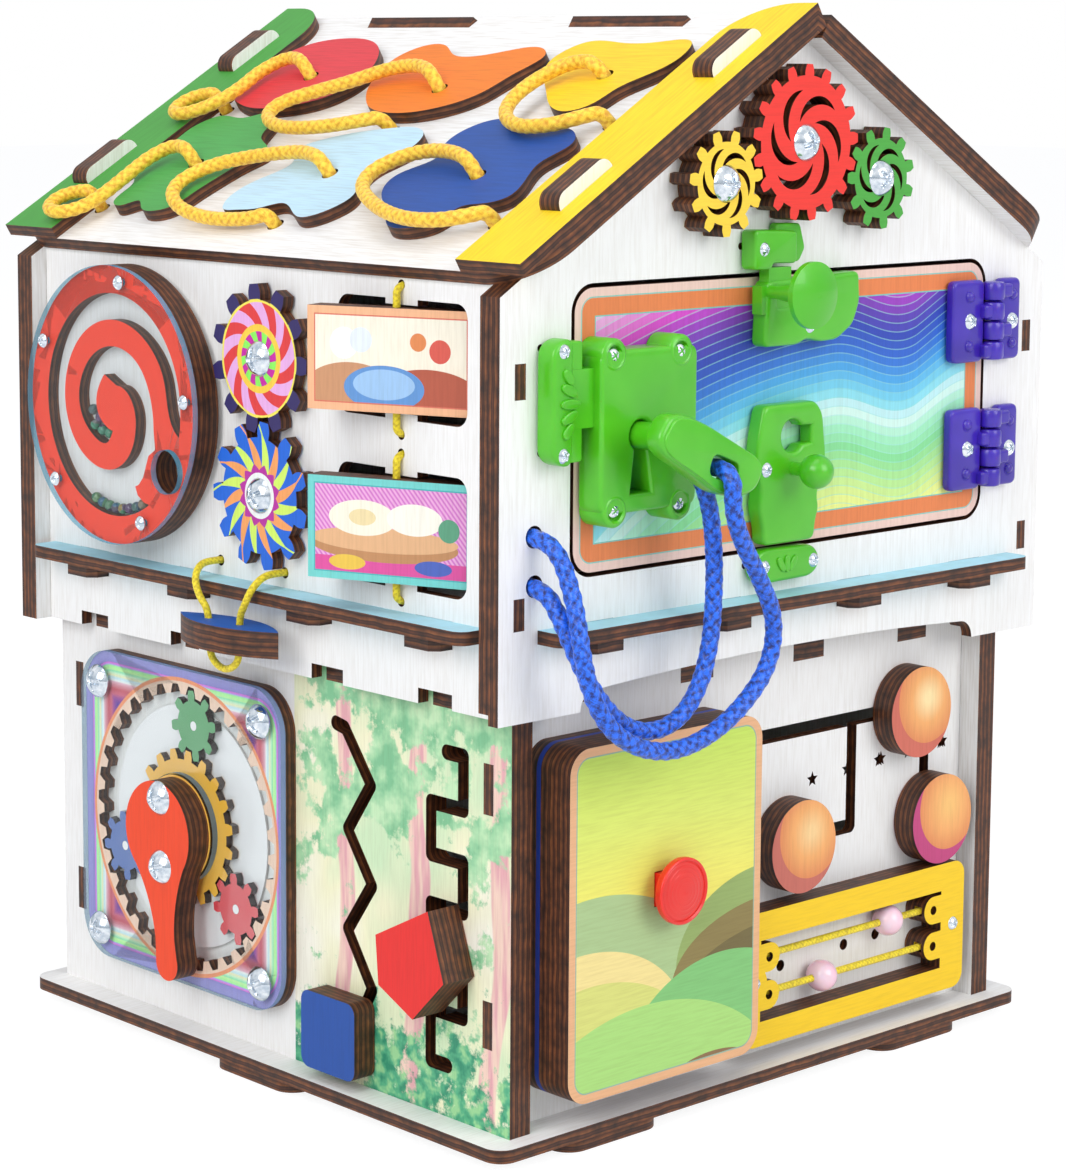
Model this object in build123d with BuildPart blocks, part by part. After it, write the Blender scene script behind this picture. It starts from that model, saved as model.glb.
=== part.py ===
from build123d import *
import math
import os

os.makedirs("parts", exist_ok=True)

# Driving sizes, in millimetres. The origin is the bottom centre of the house; the door faces -Y
# and the side with the spiral maze faces -X.
ply = 4.0               # one layer of birch plywood
fit = 0.1               # gap round a tab in its slot and between parts that slide
rest_gap = 0.3          # gap between a moving piece and the wall behind it
run_gap = 0.06          # radial gap of a piece that turns on a pin
over = 1.0              # overrun of a cut
double = 2 * ply        # two layers glued together

foot_h = ply            # thickness of the feet
base_x = 118.3          # half width of the base plate
base_y = 115.9          # half depth of the base plate
base_r = 6.0            # its corner radius
base_top = foot_h + ply

side_x = 108.6          # outer face of the lower side walls
side_y = 109.7          # half depth of the lower side walls
end_y = 102.1           # outer face of the lower front and back panels
skirt_z = 131.2         # bottom edge of the upper storey
ceiling_z = 130.0       # underside of the double ceiling of the lower storey
floor_z = 149.0         # underside of the upper floor

wall_x = 114.2          # outer face of the upper side walls
gable_y = 116.1         # outer face of the gable walls
gable_x = 120.0         # half width of the gable walls
ridge_z = 323.1         # underside of the roof at the ridge
slope = 31.0            # roof slope in degrees
eave_in = 5.3           # how far up the slope a roof panel ends from the gable's corner
roof_y = 123.5          # half length of the roof along the ridge
rail_w = 26.3           # width of the painted rails at the roof's ends

door_x0, door_x1 = -91.5, 89.5      # left and right edges of the door
door_z0, door_z1 = 171.2, 252.1     # its bottom and top edges
door_gap = 1.3          # gap between door and opening
door_r = 7.0            # corner radius of the door

tooth_add_share = 0.5   # height of a tooth above the pitch circle, as a share of the module
tooth_ded_share = 0.8   # depth of a tooth below it
backlash = 0.5          # play between the teeth on the pitch circle

# Sizes that follow from them
slope_cos = math.cos(math.radians(slope))
slope_sin = math.sin(math.radians(slope))
side_in = side_x - double
end_in = end_y - ply
wall_in = wall_x - ply
gable_in = gable_y - double
neck_y = gable_in - fit
ledge_z = floor_z + ply
roof_u = gable_x / slope_cos - eave_in      # length of a roof panel down the slope
finger_u = ply / math.sin(math.radians(2 * slope))
notch_u = ply / math.tan(math.radians(2 * slope))


def polar(radius, angle):
    """The point at this radius and this angle in degrees."""
    return (radius * math.cos(math.radians(angle)), radius * math.sin(math.radians(angle)))


def at_y(y):
    """The upright plane through y that looks to the front, with x and z as its own directions."""
    return Plane.XZ.offset(-y)


def at_x(x):
    """The upright plane through x, with y and z as its own directions."""
    return Plane.YZ.offset(x)


def at_z(z):
    """The level plane through z."""
    return Plane.XY.offset(z)


def on_roof(side, w):
    """A plane w above the underside of one roof slope: u runs down the slope from the ridge."""
    down = (side * slope_cos, 0, -slope_sin)
    out = (side * slope_sin, 0, slope_cos)
    return Plane(origin=(w * out[0], 0, ridge_z + w * out[2]), x_dir=down, z_dir=out)


def roof_point(u, y, w):
    """A point on the left slope, u down from the ridge and w above the underside of the panel."""
    return (-u * slope_cos - w * slope_sin, y, ridge_z - u * slope_sin + w * slope_cos)


def block(a0, b0, a1, b1, mode=Mode.ADD):
    """A rectangle of the open sketch between two opposite corners."""
    with Locations(((a0 + a1) / 2, (b0 + b1) / 2)):
        Rectangle(a1 - a0, b1 - b0, mode=mode)


def slot_path(points, width, mode=Mode.SUBTRACT):
    """A slot of one width with round ends and bends along a chain of points."""
    for (a0, b0), (a1, b1) in zip(points[:-1], points[1:]):
        turn = math.degrees(math.atan2(b1 - b0, a1 - a0))
        with Locations(Location(((a0 + a1) / 2, (b0 + b1) / 2, 0), (0, 0, turn))):
            SlotCenterToCenter(math.hypot(a1 - a0, b1 - b0), width, mode=mode)


def save(piece, label):
    """Name a finished piece and write it to its own file."""
    piece.part.label = label
    export_step(piece.part, f"parts/{label}.step")


# Feet: six rounded pads glued under the base plate
foot_l, foot_w, foot_r = 40.0, 24.0, 7.0
foot_in = 1.6           # how far a foot stands in from the edge of the base
foot_spread = 70.0      # places of the feet along the front and back edges
foot_edge_x = base_x - foot_in - foot_w / 2
foot_edge_y = base_y - foot_in - foot_w / 2

with BuildPart() as feet:
    with BuildSketch(at_z(0)):
        with Locations((-foot_edge_x, 0), (foot_edge_x, 0)):
            RectangleRounded(foot_w, foot_l, foot_r)
        with Locations(*[(sx * foot_spread, sy * foot_edge_y) for sx in (-1, 1) for sy in (-1, 1)]):
            RectangleRounded(foot_l, foot_w, foot_r)
    extrude(amount=foot_h)
save(feet, "feet")

# Base plate, with slots for the tabs of the side walls
base_tab_l = 32.0
base_tab_y = 55.0
wall_mid = side_x - double / 2

with BuildPart() as base_plate:
    with BuildSketch(at_z(foot_h)):
        RectangleRounded(2 * base_x, 2 * base_y, base_r)
        with Locations(*[(sx * wall_mid, sy * base_tab_y) for sx in (-1, 1) for sy in (-1, 1)]):
            Rectangle(double + 2 * fit, base_tab_l + 2 * fit, mode=Mode.SUBTRACT)
    extrude(amount=ply)
save(base_plate, "base_plate")

# Lower side walls: two layers each, with the path slots and the gear panel on the left one
end_tabs_z = ((32.7, 46.7), (101.7, 116.5))     # heights of the tabs of the end panels
ceiling_tab_l = 14.0
ceiling_tabs_y = (-83.3, -35.0, 35.0, 83.3)     # places of the ceiling's tabs in the side walls
ceiling_tabs_x = (-75.1, -25.2, 25.2, 75.1)     # and in the end panels
path_w = 4.6            # width of the slots that the shapes slide in
zigzag = ((-32.4, 117.5), (-36.6, 116.7), (-48.5, 101.1), (-37.9, 86.0), (-49.0, 70.6),
          (-37.8, 55.0), (-49.0, 38.6), (-40.4, 22.6))
meander = ((-82.3, 117.0), (-89.4, 117.0), (-89.4, 101.2), (-75.5, 101.2), (-75.5, 85.6),
           (-89.4, 85.6), (-89.4, 70.8), (-75.5, 70.8), (-75.5, 55.0), (-89.4, 55.0),
           (-89.4, 39.3), (-75.5, 39.3), (-75.5, 23.5), (-82.7, 23.5))
sun_y, sun_z = 38.5, 72.7       # centre of the planet gears
axle_r = 2.5                    # axle of the crank in the wall
ring_w, ring_h, ring_r = 104.0, 102.0, 14.0     # the panel round the planet gears
ring_y, ring_z = 38.8, 73.2     # its centre
ring_screws = ((81.6, 113.7), (-2.2, 113.7), (81.6, 31.0), (-2.2, 31.0))
screw_r = 2.0                   # shank of the domed screws


def lower_wall_outline():
    """The outline of a lower side wall with its tabs and the slots of its neighbours."""
    block(-side_y, base_top, side_y, skirt_z - fit)
    block(-neck_y, skirt_z - fit, neck_y, floor_z)
    for sy in (-1, 1):
        block(sy * base_tab_y - base_tab_l / 2, foot_h, sy * base_tab_y + base_tab_l / 2, base_top)
        for z0, z1 in end_tabs_z:
            y_near, y_far = sorted((sy * (end_in - fit), sy * (end_y + fit)))
            block(y_near, z0 - fit, y_far, z1 + fit, mode=Mode.SUBTRACT)
    for y in ceiling_tabs_y:
        block(y - ceiling_tab_l / 2 - fit, ceiling_z, y + ceiling_tab_l / 2 + fit,
              ceiling_z + double, mode=Mode.SUBTRACT)


with BuildPart() as lower_wall_left:
    with BuildSketch(at_x(-side_x)):
        lower_wall_outline()
        slot_path(zigzag, path_w)
        slot_path(meander, path_w)
        with Locations((sun_y, sun_z)):
            Circle(axle_r + run_gap, mode=Mode.SUBTRACT)
        with Locations(*ring_screws):
            Circle(screw_r, mode=Mode.SUBTRACT)
    extrude(amount=double)
save(lower_wall_left, "lower_wall_left")

with BuildPart() as lower_wall_right:
    with BuildSketch(at_x(side_in)):
        lower_wall_outline()
    extrude(amount=double)

# Lower end panels: one layer, let into the side walls; the front one has the path of the discs
face_r = 14.7           # radius of the three round discs
face_places = ((70.9, 108.0), (82.6, 71.0), (15.4, 73.2))
face_1, face_2, face_3 = face_places
face_path_left = 4.6    # left end of the top of the path
face_branch_x = 46.5    # the branch down the middle
face_path_end = 11.0    # left end of its foot
box_x, box_z = -55.5, 69.2      # centre of the button box
abacus_screws = ((89.6, 34.7), (-5.9, 33.3))
small_r = 1.1           # shank of the small screws
stem_x, stem_z = -55.8, 75.3    # centre of its button
stem_w = 10.0           # side of the square stem
punch_stars = ((14.0, 45.6), (30.5, 46.4), (46.0, 47.0), (60.5, 47.6))     # cut-outs behind the beads
punch_dots = ((14.5, 33.5), (44.5, 34.5), (60.0, 35.0))
star_r, star_in_share, dot_r = 2.6, 0.45, 1.8


def end_panel_outline():
    """The outline of a lower end panel with its tabs and the slots of the ceiling."""
    block(-side_in + fit, base_top, side_in - fit, floor_z)
    for z0, z1 in end_tabs_z:
        block(-side_x, z0, side_x, z1)
    for x in ceiling_tabs_x:
        block(x - ceiling_tab_l / 2 - fit, ceiling_z, x + ceiling_tab_l / 2 + fit,
              ceiling_z + double, mode=Mode.SUBTRACT)


with BuildPart() as lower_front_panel:
    with BuildSketch(at_y(-end_y)):
        end_panel_outline()
        slot_path(((face_path_left, face_1[1]), (face_2[0], face_1[1]), face_2), path_w)
        slot_path(((face_branch_x, face_1[1]), (face_branch_x, face_3[1]),
                   (face_path_end, face_3[1])), path_w)
        with Locations((stem_x, stem_z)):
            Rectangle(stem_w + 2 * rest_gap, stem_w + 2 * rest_gap, mode=Mode.SUBTRACT)
        with Locations(*punch_stars):
            add(Polygon(*[(r * math.sin(k * math.pi / 5), r * math.cos(k * math.pi / 5))
                          for k in range(10) for r in [star_r if k % 2 == 0 else star_r * star_in_share]],
                        align=None, mode=Mode.PRIVATE), mode=Mode.SUBTRACT)
        with Locations(*punch_dots):
            Circle(dot_r, mode=Mode.SUBTRACT)
        with Locations(*abacus_screws):
            Circle(small_r, mode=Mode.SUBTRACT)
    extrude(amount=-ply)
save(lower_front_panel, "lower_front_panel")

with BuildPart() as lower_back_panel:
    with BuildSketch(at_y(end_y)):
        end_panel_outline()
    extrude(amount=ply)

# Floor plates: the double ceiling of the lower storey and the upper floor with its pointed tabs
ledge_slot_w = 15.5
ledge_slots = (-83.0, -29.5, 29.5, 83.0)    # places of the ledge and floor tabs in every upper wall
tab_w = ledge_slot_w - 2 * fit
tab_out = 7.0           # how far the floor's tabs stand out of the walls
tab_cut = 2.5           # chamfer at their tips


def tab_outline(depth):
    """The corners of a tab that passes a wall of this thickness, with its tip cut off slantwise."""
    reach = depth + tab_out
    return [(-tab_w / 2, -fit), (-tab_w / 2, reach - tab_cut), (-tab_w / 2 + tab_cut, reach),
            (tab_w / 2 - tab_cut, reach), (tab_w / 2, reach - tab_cut), (tab_w / 2, -fit)]


with BuildPart() as floor_plates:
    with BuildSketch(at_z(ceiling_z)):
        Rectangle(2 * (side_in - fit), 2 * (end_in - fit))
        for y in ceiling_tabs_y:
            block(-side_x, y - ceiling_tab_l / 2, side_x, y + ceiling_tab_l / 2)
        for x in ceiling_tabs_x:
            block(x - ceiling_tab_l / 2, -end_y, x + ceiling_tab_l / 2, end_y)
    extrude(amount=double)
    with BuildSketch(at_z(floor_z)):
        Rectangle(2 * (wall_in - fit), 2 * (gable_in - fit))
        for place in ledge_slots:
            with Locations(Location((place, gable_in - fit, 0)),
                           Location((place, -gable_in + fit, 0), (0, 0, 180))):
                Polygon(*tab_outline(double + fit), align=None)
            with Locations(Location((-wall_in + fit, place, 0), (0, 0, 90)),
                           Location((wall_in - fit, place, 0), (0, 0, -90))):
                Polygon(*tab_outline(ply + fit), align=None)
    extrude(amount=ply)
save(floor_plates, "floor_plates")

# Ledges: four strips that run round the house on the floor's tabs
ledge_front = 9.9       # how far a ledge stands out
ledge_half = 105.0
ledge_r = 4.0


def ledge_strip(face, depth):
    """A ledge against a wall whose outer face is at this distance, with its tabs through the wall."""
    with BuildSketch(at_z(ledge_z)) as strip:
        with Locations((0, face + ledge_front / 2)):
            Rectangle(2 * ledge_half, ledge_front)
        outer = strip.vertices().sort_by(Axis.Y)[-2:]
        fillet(outer, ledge_r)
        for place in ledge_slots:
            block(place - tab_w / 2, face - depth, place + tab_w / 2, face + fit)
    return strip.sketch


ledge_end = ledge_strip(gable_y, double)
ledge_side = ledge_strip(wall_x, ply)
with BuildPart() as ledges:
    add(ledge_end)
    add(ledge_end.rotate(Axis.Z, 180))
    add(ledge_side.rotate(Axis.Z, 90))
    add(ledge_side.rotate(Axis.Z, -90))
    extrude(amount=ply)
save(ledges, "ledges")

# Upper side walls: one layer each
roof_tip = ridge_z - wall_x * slope_sin / slope_cos     # underside of the roof above these walls
wall_tabs_z = ((157.6, 166.6), (222.4, 232.3))
skirt_notch_w, skirt_notch_z = 14.6, 135.8
maze_y, maze_z = 58.0, 207.0
maze_pin_r = 4.0
cog_y, cog_z1, cog_z2 = -9.0, 226.2, 184.8
swing_y = (16.2, -15.2)
swing_z = 161.6
swing_hole_r = 1.7
picture_y = -68.5       # axis of the picture blocks
picture_x = -116.0
picture_z = ((212.9, 247.6), (163.7, 198.4))    # heights of their two openings
picture_half = 28.2     # half width of an opening
picture_r = 4.5
tongue_w, tongue_h = 14.0, 1.7
cord_holes_z = (251.6, 208.5, 203.0, 159.9)
cord_r = 1.15           # yellow cord
cord_hole_r = 1.5


def upper_wall_outline():
    """The outline of an upper side wall with its tabs, its notches and the slots for the ledges."""
    block(-neck_y, skirt_z, neck_y, roof_tip - fit)
    for sy in (-1, 1):
        for z0, z1 in wall_tabs_z:
            y_near, y_far = sorted((sy * (neck_y - over), sy * gable_y))
            block(y_near, z0, y_far, z1)
    for y in ceiling_tabs_y:
        block(y - skirt_notch_w / 2, skirt_z - over, y + skirt_notch_w / 2, skirt_notch_z,
              mode=Mode.SUBTRACT)
    for y in ledge_slots:
        block(y - ledge_slot_w / 2, floor_z - fit, y + ledge_slot_w / 2, ledge_z + ply + fit,
              mode=Mode.SUBTRACT)


with BuildPart() as upper_wall_left:
    with BuildSketch(at_x(-wall_x)):
        upper_wall_outline()
        for z0, z1 in picture_z:
            with Locations((picture_y, (z0 + z1) / 2)):
                RectangleRounded(2 * picture_half, z1 - z0, picture_r, mode=Mode.SUBTRACT)
            block(picture_y - tongue_w / 2, z0 - fit, picture_y + tongue_w / 2, z0 + tongue_h)
            block(picture_y - tongue_w / 2, z1 - tongue_h, picture_y + tongue_w / 2, z1 + fit)
        with Locations((maze_y, maze_z)):
            Circle(maze_pin_r + run_gap, mode=Mode.SUBTRACT)
        with Locations((cog_y, cog_z1), (cog_y, cog_z2)):
            Circle(screw_r, mode=Mode.SUBTRACT)
        with Locations((swing_y[0], swing_z), (swing_y[1], swing_z)):
            Circle(swing_hole_r, mode=Mode.SUBTRACT)
        with Locations(*[(picture_y, z) for z in cord_holes_z]):
            Circle(cord_hole_r, mode=Mode.SUBTRACT)
    extrude(amount=ply)
save(upper_wall_left, "upper_wall_left")

with BuildPart() as upper_wall_right:
    with BuildSketch(at_x(wall_in)):
        upper_wall_outline()
    extrude(amount=ply)

# Gable walls: two layers, with two tabs on each slope that come out through the roof
leg_x, leg_step, leg_z = 88.0, 5.8, 3.0     # inner edge of a leg, its step, inner layer's step
arch_z = 139.5
gable_tabs_u = (26.0, 97.0)
gable_tab_l, gable_tab_w, gable_tab_r = 23.4, 12.0, 4.0
rope_holes = ((-106.6, 183.6), (-106.4, 169.6))
rope_r = 2.65
rope_hole_r = 3.2
hinge_screws_z = (233.9, 192.7)
leaf_screws_x = (76.5, 97.0)    # screws of the door leaves and of the wall leaves
lock_keeper_screws = ((-104.7, 236.3), (-104.5, 207.0))
top_keeper_screw = (-23.9, 261.4)
bottom_keeper_screws = ((-20.3, 166.3), (1.9, 166.3))
wall_small_screws = [(leaf_screws_x[1], z) for z in hinge_screws_z] + [
    *lock_keeper_screws, top_keeper_screw, *bottom_keeper_screws]
gear_centres = 35.8     # distance between the axes of the gears
gear_drop = math.radians(18.2)          # the small gears' axes lie this far below the red one's
red_x, red_z = -5.2, 291.5
gear_axes = [(red_x, red_z)] + [(red_x + side * gear_centres * math.cos(gear_drop),
                                 red_z - gear_centres * math.sin(gear_drop)) for side in (-1, 1)]
eave_z = ridge_z - gable_x * slope_sin / slope_cos
step_x = leg_x - leg_step
step_z = skirt_z + leg_step
with BuildSketch() as gable_shape:
    with BuildLine():
        Polyline((0, ridge_z), (gable_x, eave_z), (gable_x, skirt_z), (leg_x, skirt_z))
        RadiusArc((leg_x, skirt_z), (step_x, step_z), -leg_step)
        ThreePointArc((step_x, step_z), (0, arch_z), (-step_x, step_z))
        RadiusArc((-step_x, step_z), (-leg_x, skirt_z), -leg_step)
        Polyline((-leg_x, skirt_z), (-gable_x, skirt_z), (-gable_x, eave_z), (0, ridge_z))
    make_face()


def gable_outline():
    """The outline of a gable wall: legs, shallow arch, upright edges, roof slopes and tabs."""
    add(gable_shape.sketch)
    for side in (-1, 1):
        for u in gable_tabs_u:
            x = side * (u * slope_cos + gable_tab_w / 2 * slope_sin)
            z = ridge_z - u * slope_sin + gable_tab_w / 2 * slope_cos
            with Locations(Location((x, z, 0), (0, 0, -side * slope))):
                Rectangle(gable_tab_l, gable_tab_w + 2 * fit)
    for x in ledge_slots:
        block(x - ledge_slot_w / 2, floor_z - fit, x + ledge_slot_w / 2, ledge_z + ply + fit,
              mode=Mode.SUBTRACT)
    for side in (-1, 1):
        for z0, z1 in wall_tabs_z:
            x_near, x_far = sorted((side * (wall_in - fit), side * (wall_x + fit)))
            block(x_near, z0 - fit, x_far, z1 + fit, mode=Mode.SUBTRACT)


def round_tabs(piece):
    """Round the outer corners of the tabs that stand out above the rails."""
    top = [e for e in piece.edges().filter_by(Axis.Y)
           if abs(e.center().X) < gable_x - over
           and (e.center().Z - ridge_z) * slope_cos + abs(e.center().X) * slope_sin > gable_tab_w - over]
    fillet(top, gable_tab_r)


with BuildPart() as gable_front:
    with BuildSketch(at_y(-gable_y)):
        gable_outline()
        with Locations(((door_x0 + door_x1) / 2, (door_z0 + door_z1) / 2)):
            RectangleRounded(door_x1 - door_x0 + 2 * door_gap, door_z1 - door_z0 + 2 * door_gap,
                             door_r + door_gap, mode=Mode.SUBTRACT)
        with Locations(*rope_holes):
            Circle(rope_hole_r, mode=Mode.SUBTRACT)
        with Locations(*gear_axes):
            Circle(screw_r, mode=Mode.SUBTRACT)
        with Locations(*wall_small_screws):
            Circle(small_r, mode=Mode.SUBTRACT)
    extrude(amount=-double)
    with BuildSketch(at_y(-gable_y + ply)):
        for side in (-1, 1):
            x_near, x_far = sorted((side * (leg_x - leg_step), side * (gable_x + over)))
            block(x_near, skirt_z - over, x_far, skirt_z + leg_z)
    extrude(amount=-ply - over, mode=Mode.SUBTRACT)
    round_tabs(gable_front)
save(gable_front, "gable_front")

with BuildPart() as gable_back:
    with BuildSketch(at_y(gable_y)):
        gable_outline()
    extrude(amount=double)
    round_tabs(gable_back)
with BuildPart() as plain_walls:
    add(lower_wall_right.part)
    add(lower_back_panel.part)
    add(upper_wall_right.part)
    add(gable_back.part)
save(plain_walls, "plain_walls")

# Roof panels: one layer each, finger-jointed along the ridge
ridge_finger_y = (-72.0, -22.0, 24.8, 76.0)     # where the fingers of the two panels change over
roof_r = 20.0           # rounded corners at the eaves
tab_slot_w = gable_tab_l + 2 * fit
tab_slot_y = (gable_in - fit, gable_y + fit)


def roof_slots(side, y_sign):
    """The slots for the gable's tabs at one end of a roof slope."""
    for u in gable_tabs_u:
        y_near, y_far = sorted(side * y_sign * y for y in tab_slot_y)
        block(u - tab_slot_w / 2, y_near, u + tab_slot_w / 2, y_far, mode=Mode.SUBTRACT)


def roof_outline(side):
    """One roof panel: the left one has a finger where the right one has a notch."""
    corners = [-roof_y, *ridge_finger_y, roof_y]
    for k, (y0, y1) in enumerate(zip(corners[:-1], corners[1:])):
        is_finger = (k % 2 == 0) == (side < 0)
        start = -finger_u if is_finger else notch_u
        trim = -fit if is_finger else 0
        y_low = y0 - (trim if k else 0)
        y_high = y1 + (trim if k < len(ridge_finger_y) else 0)
        v_low, v_high = sorted((side * y_low, side * y_high))
        block(start, v_low, roof_r, v_high)
    block(notch_u, -roof_y, roof_u - roof_r, roof_y)
    with Locations((roof_u - roof_r, 0)):
        RectangleRounded(2 * roof_r, 2 * roof_y, roof_r - over)
    for y_sign in (-1, 1):
        roof_slots(side, y_sign)


lace_w = 4.5            # diameter of the laces
lace_hole_r = 2.75
# Each lace: its holes and its bends, as u down the slope, y and w above the underside of the panel
laces = {
    "red": ((40.1, 64.0, 12.2), (34.0, 77.0, 12.4), (42.5, 85.5, 11.6), (54.5, 85.0, 11.2),
            (64.5, 89.5, 11.0), (71.0, 97.5, 11.4), (69.0, 105.5, 11.2), (61.5, 106.0, 11.2),
            (57.0, 100.5, 11.0), (56.6, 93.6, 11.0)),
    "orange": ((46.3, -5.7, 12.2), (39.6, 6.2, 12.6), (40.6, 20.4, 12.0), (48.3, 32.5, 11.4),
               (54.5, 45.0, 11.2), (61.5, 55.6, 11.2), (70.0, 54.0, 11.4), (75.6, 43.5, 11.2),
               (76.4, 29.5, 11.2), (74.2, 15.8, 11.2), (70.4, 6.0, 11.0), (65.3, 0.4, 9.4)),
    "yellow": ((37.0, -71.0, 12.2), (36.6, -60.0, 12.6), (44.6, -52.4, 12.0), (55.0, -49.6, 11.4),
               (65.2, -54.0, 11.2), (71.8, -65.4, 11.2), (70.8, -78.4, 11.2), (64.6, -86.6, 10.6),
               (58.6, -90.4, 9.0)),
    "green": ((94.0, 66.0, 12.2), (90.0, 77.6, 12.6), (96.8, 84.4, 12.0), (106.2, 85.4, 11.4),
              (116.0, 86.6, 10.6), (124.6, 89.6, 10.0), (130.4, 96.6, 11.0), (128.8, 104.6, 11.4),
              (122.0, 106.8, 11.2), (117.4, 101.0, 11.0), (116.6, 93.6, 11.0)),
    "light": ((96.0, -3.3, 12.2), (91.4, 8.6, 12.6), (91.6, 22.0, 12.0), (94.2, 36.0, 11.6),
              (99.0, 49.0, 11.4), (107.4, 55.8, 11.2), (115.8, 53.0, 11.2), (121.4, 43.4, 9.6),
              (123.0, 30.6, 7.8), (122.6, 17.6, 7.4), (121.4, 7.6, 7.6), (118.9, 1.4, 8.4)),
    "dark": ((93.0, -67.3, 12.2), (88.2, -55.6, 12.6), (87.0, -42.0, 12.0), (91.0, -31.6, 11.4),
             (98.6, -26.8, 11.2), (107.0, -30.6, 11.2), (113.6, -41.4, 11.2), (118.8, -53.4, 11.2),
             (121.8, -66.6, 11.2), (121.0, -79.0, 11.0), (116.8, -86.8, 10.2), (111.4, -90.4, 8.8)),
}
lace_start_w = 1.0      # how far above the underside of the panel the ends of the laces lie


def lace_holes(side):
    """The holes for the laces in the left roof panel."""
    with Locations(*[(points[k][0], side * points[k][1]) for points in laces.values() for k in (0, -1)]):
        Circle(lace_hole_r, mode=Mode.SUBTRACT)


with BuildPart() as roof_panel_left:
    with BuildSketch(on_roof(-1, 0)):
        roof_outline(-1)
        lace_holes(-1)
    extrude(amount=ply)

with BuildPart() as roof_panel_right:
    with BuildSketch(on_roof(1, 0)):
        roof_outline(1)
    extrude(amount=ply)

with BuildPart() as roof_panels:
    add(roof_panel_left.part)
    add(roof_panel_right.part)
save(roof_panels, "roof_panels")

# Rails: a painted strip over each end of each slope
with BuildPart() as roof_rails:
    for side in (-1, 1):
        start = -finger_u if side < 0 else notch_u
        for y_sign in (-1, 1):
            v_edge = side * y_sign * roof_y
            v_in = side * y_sign * (roof_y - rail_w)
            with BuildSketch(on_roof(side, ply)) as strip:
                block(start, min(v_edge, v_in), roof_u, max(v_edge, v_in))
                corner = strip.vertices().sort_by_distance(
                    on_roof(side, ply).from_local_coords((roof_u, v_edge, 0)))[0]
                fillet(corner, roof_r - over)
                roof_slots(side, y_sign)
            extrude(amount=ply)
save(roof_rails, "roof_rails")

# Lacing shapes: six painted plates on the left slope, outlines in u down the slope and y
red_shape = ((49.5, 94.0), (35.5, 95.0), (22.5, 89.5), (15.8, 71.5), (19.5, 51.5), (28.5, 42.0),
             (42.0, 38.0), (52.5, 43.5), (58.0, 55.0), (60.3, 73.0), (57.0, 85.0))
orange_shape = ((50.5, 25.5), (38.0, 32.5), (27.5, 33.0), (20.0, 25.5), (20.0, 17.0), (26.0, 7.0),
                (26.5, -5.0), (22.5, -18.0), (21.5, -29.5), (26.0, -35.0), (36.5, -31.5),
                (48.0, -27.0), (56.5, -17.0), (60.6, -4.0), (60.4, 9.0), (56.5, 19.0))
yellow_shape = ((24.0, -41.0), (17.8, -47.0), (18.5, -63.0), (17.5, -79.0), (17.5, -90.5),
                (27.0, -93.5), (36.0, -89.0), (44.5, -82.5), (53.5, -79.5), (57.5, -73.0),
                (55.5, -64.5), (46.0, -53.5), (34.5, -42.5))
green_shape = ((99.5, 92.6), (89.0, 94.6), (82.5, 92.0), (73.5, 91.6), (65.8, 85.0), (66.2, 71.0),
               (62.6, 61.2), (66.6, 55.2), (77.5, 50.2), (85.0, 40.0), (91.0, 43.0), (100.0, 46.6),
               (110.0, 49.2), (118.0, 51.4), (121.6, 58.5), (119.8, 66.0), (116.4, 71.5),
               (119.6, 77.0), (117.0, 83.6), (108.5, 84.6))
light_shape = ((116.4, 27.4), (108.5, 29.6), (100.2, 25.4), (91.5, 20.0), (83.0, 25.0),
               (76.5, 17.5), (72.0, 5.0), (69.5, -6.5), (69.0, -17.0), (72.5, -23.5), (81.0, -25.0),
               (91.0, -19.5), (99.0, -20.8), (107.5, -25.2), (115.0, -22.0), (119.6, -14.0),
               (116.6, -6.5), (113.0, 2.5), (116.2, 9.5), (118.0, 19.0))
dark_shape = ((82.0, -40.5), (70.5, -38.6), (63.9, -45.0), (62.6, -55.0), (66.0, -70.0),
              (67.6, -84.0), (75.0, -90.4), (84.5, -86.6), (94.0, -88.6), (103.0, -89.6),
              (107.2, -82.5), (109.5, -75.4), (116.5, -72.6), (121.6, -64.0), (120.6, -54.5),
              (113.5, -47.0), (105.0, -36.4), (94.5, -33.6))

lacing_outlines = (red_shape, orange_shape, yellow_shape, green_shape, light_shape, dark_shape)
with BuildPart() as lacing_shapes:
    for outline, points in zip(lacing_outlines, laces.values()):
        with BuildSketch(on_roof(-1, ply)):
            with BuildLine():
                Spline(*[(u, -y) for u, y in outline], periodic=True)
            make_face()
            with Locations((points[0][0], -points[0][1])):
                Circle(lace_hole_r, mode=Mode.SUBTRACT)
        extrude(amount=ply)
save(lacing_shapes, "lacing_shapes")


def bend_radii(points):
    """The radius at each corner of a route: 0.45 of the shorter run over the tangent of half the turn."""
    radii = []
    for a, b, c in zip(points[:-2], points[1:-1], points[2:]):
        run_in, run_out = Vector(*b) - Vector(*a), Vector(*c) - Vector(*b)
        half_turn = math.radians(run_in.get_angle(run_out)) / 2
        radii.append(0.45 * min(run_in.length, run_out.length) / math.tan(half_turn))
    return radii


def route_facts(label, points, diameter):
    """Print the length of a cord's route, its sharpest bend and its longest run."""
    with BuildLine(mode=Mode.PRIVATE) as line:
        FilletPolyline(*points, radius=bend_radii(points))
    length = sum(edge.length for edge in line.edges())
    runs = [(Vector(*b) - Vector(*a)).length for a, b in zip(points[:-1], points[1:])]
    print(f"{label}: length {length:.1f}, least bend {min(bend_radii(points)):.2f},"
          f" runs {min(runs):.1f} to {max(runs):.1f}, volume {length * math.pi * diameter ** 2 / 4:.0f}")


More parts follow.
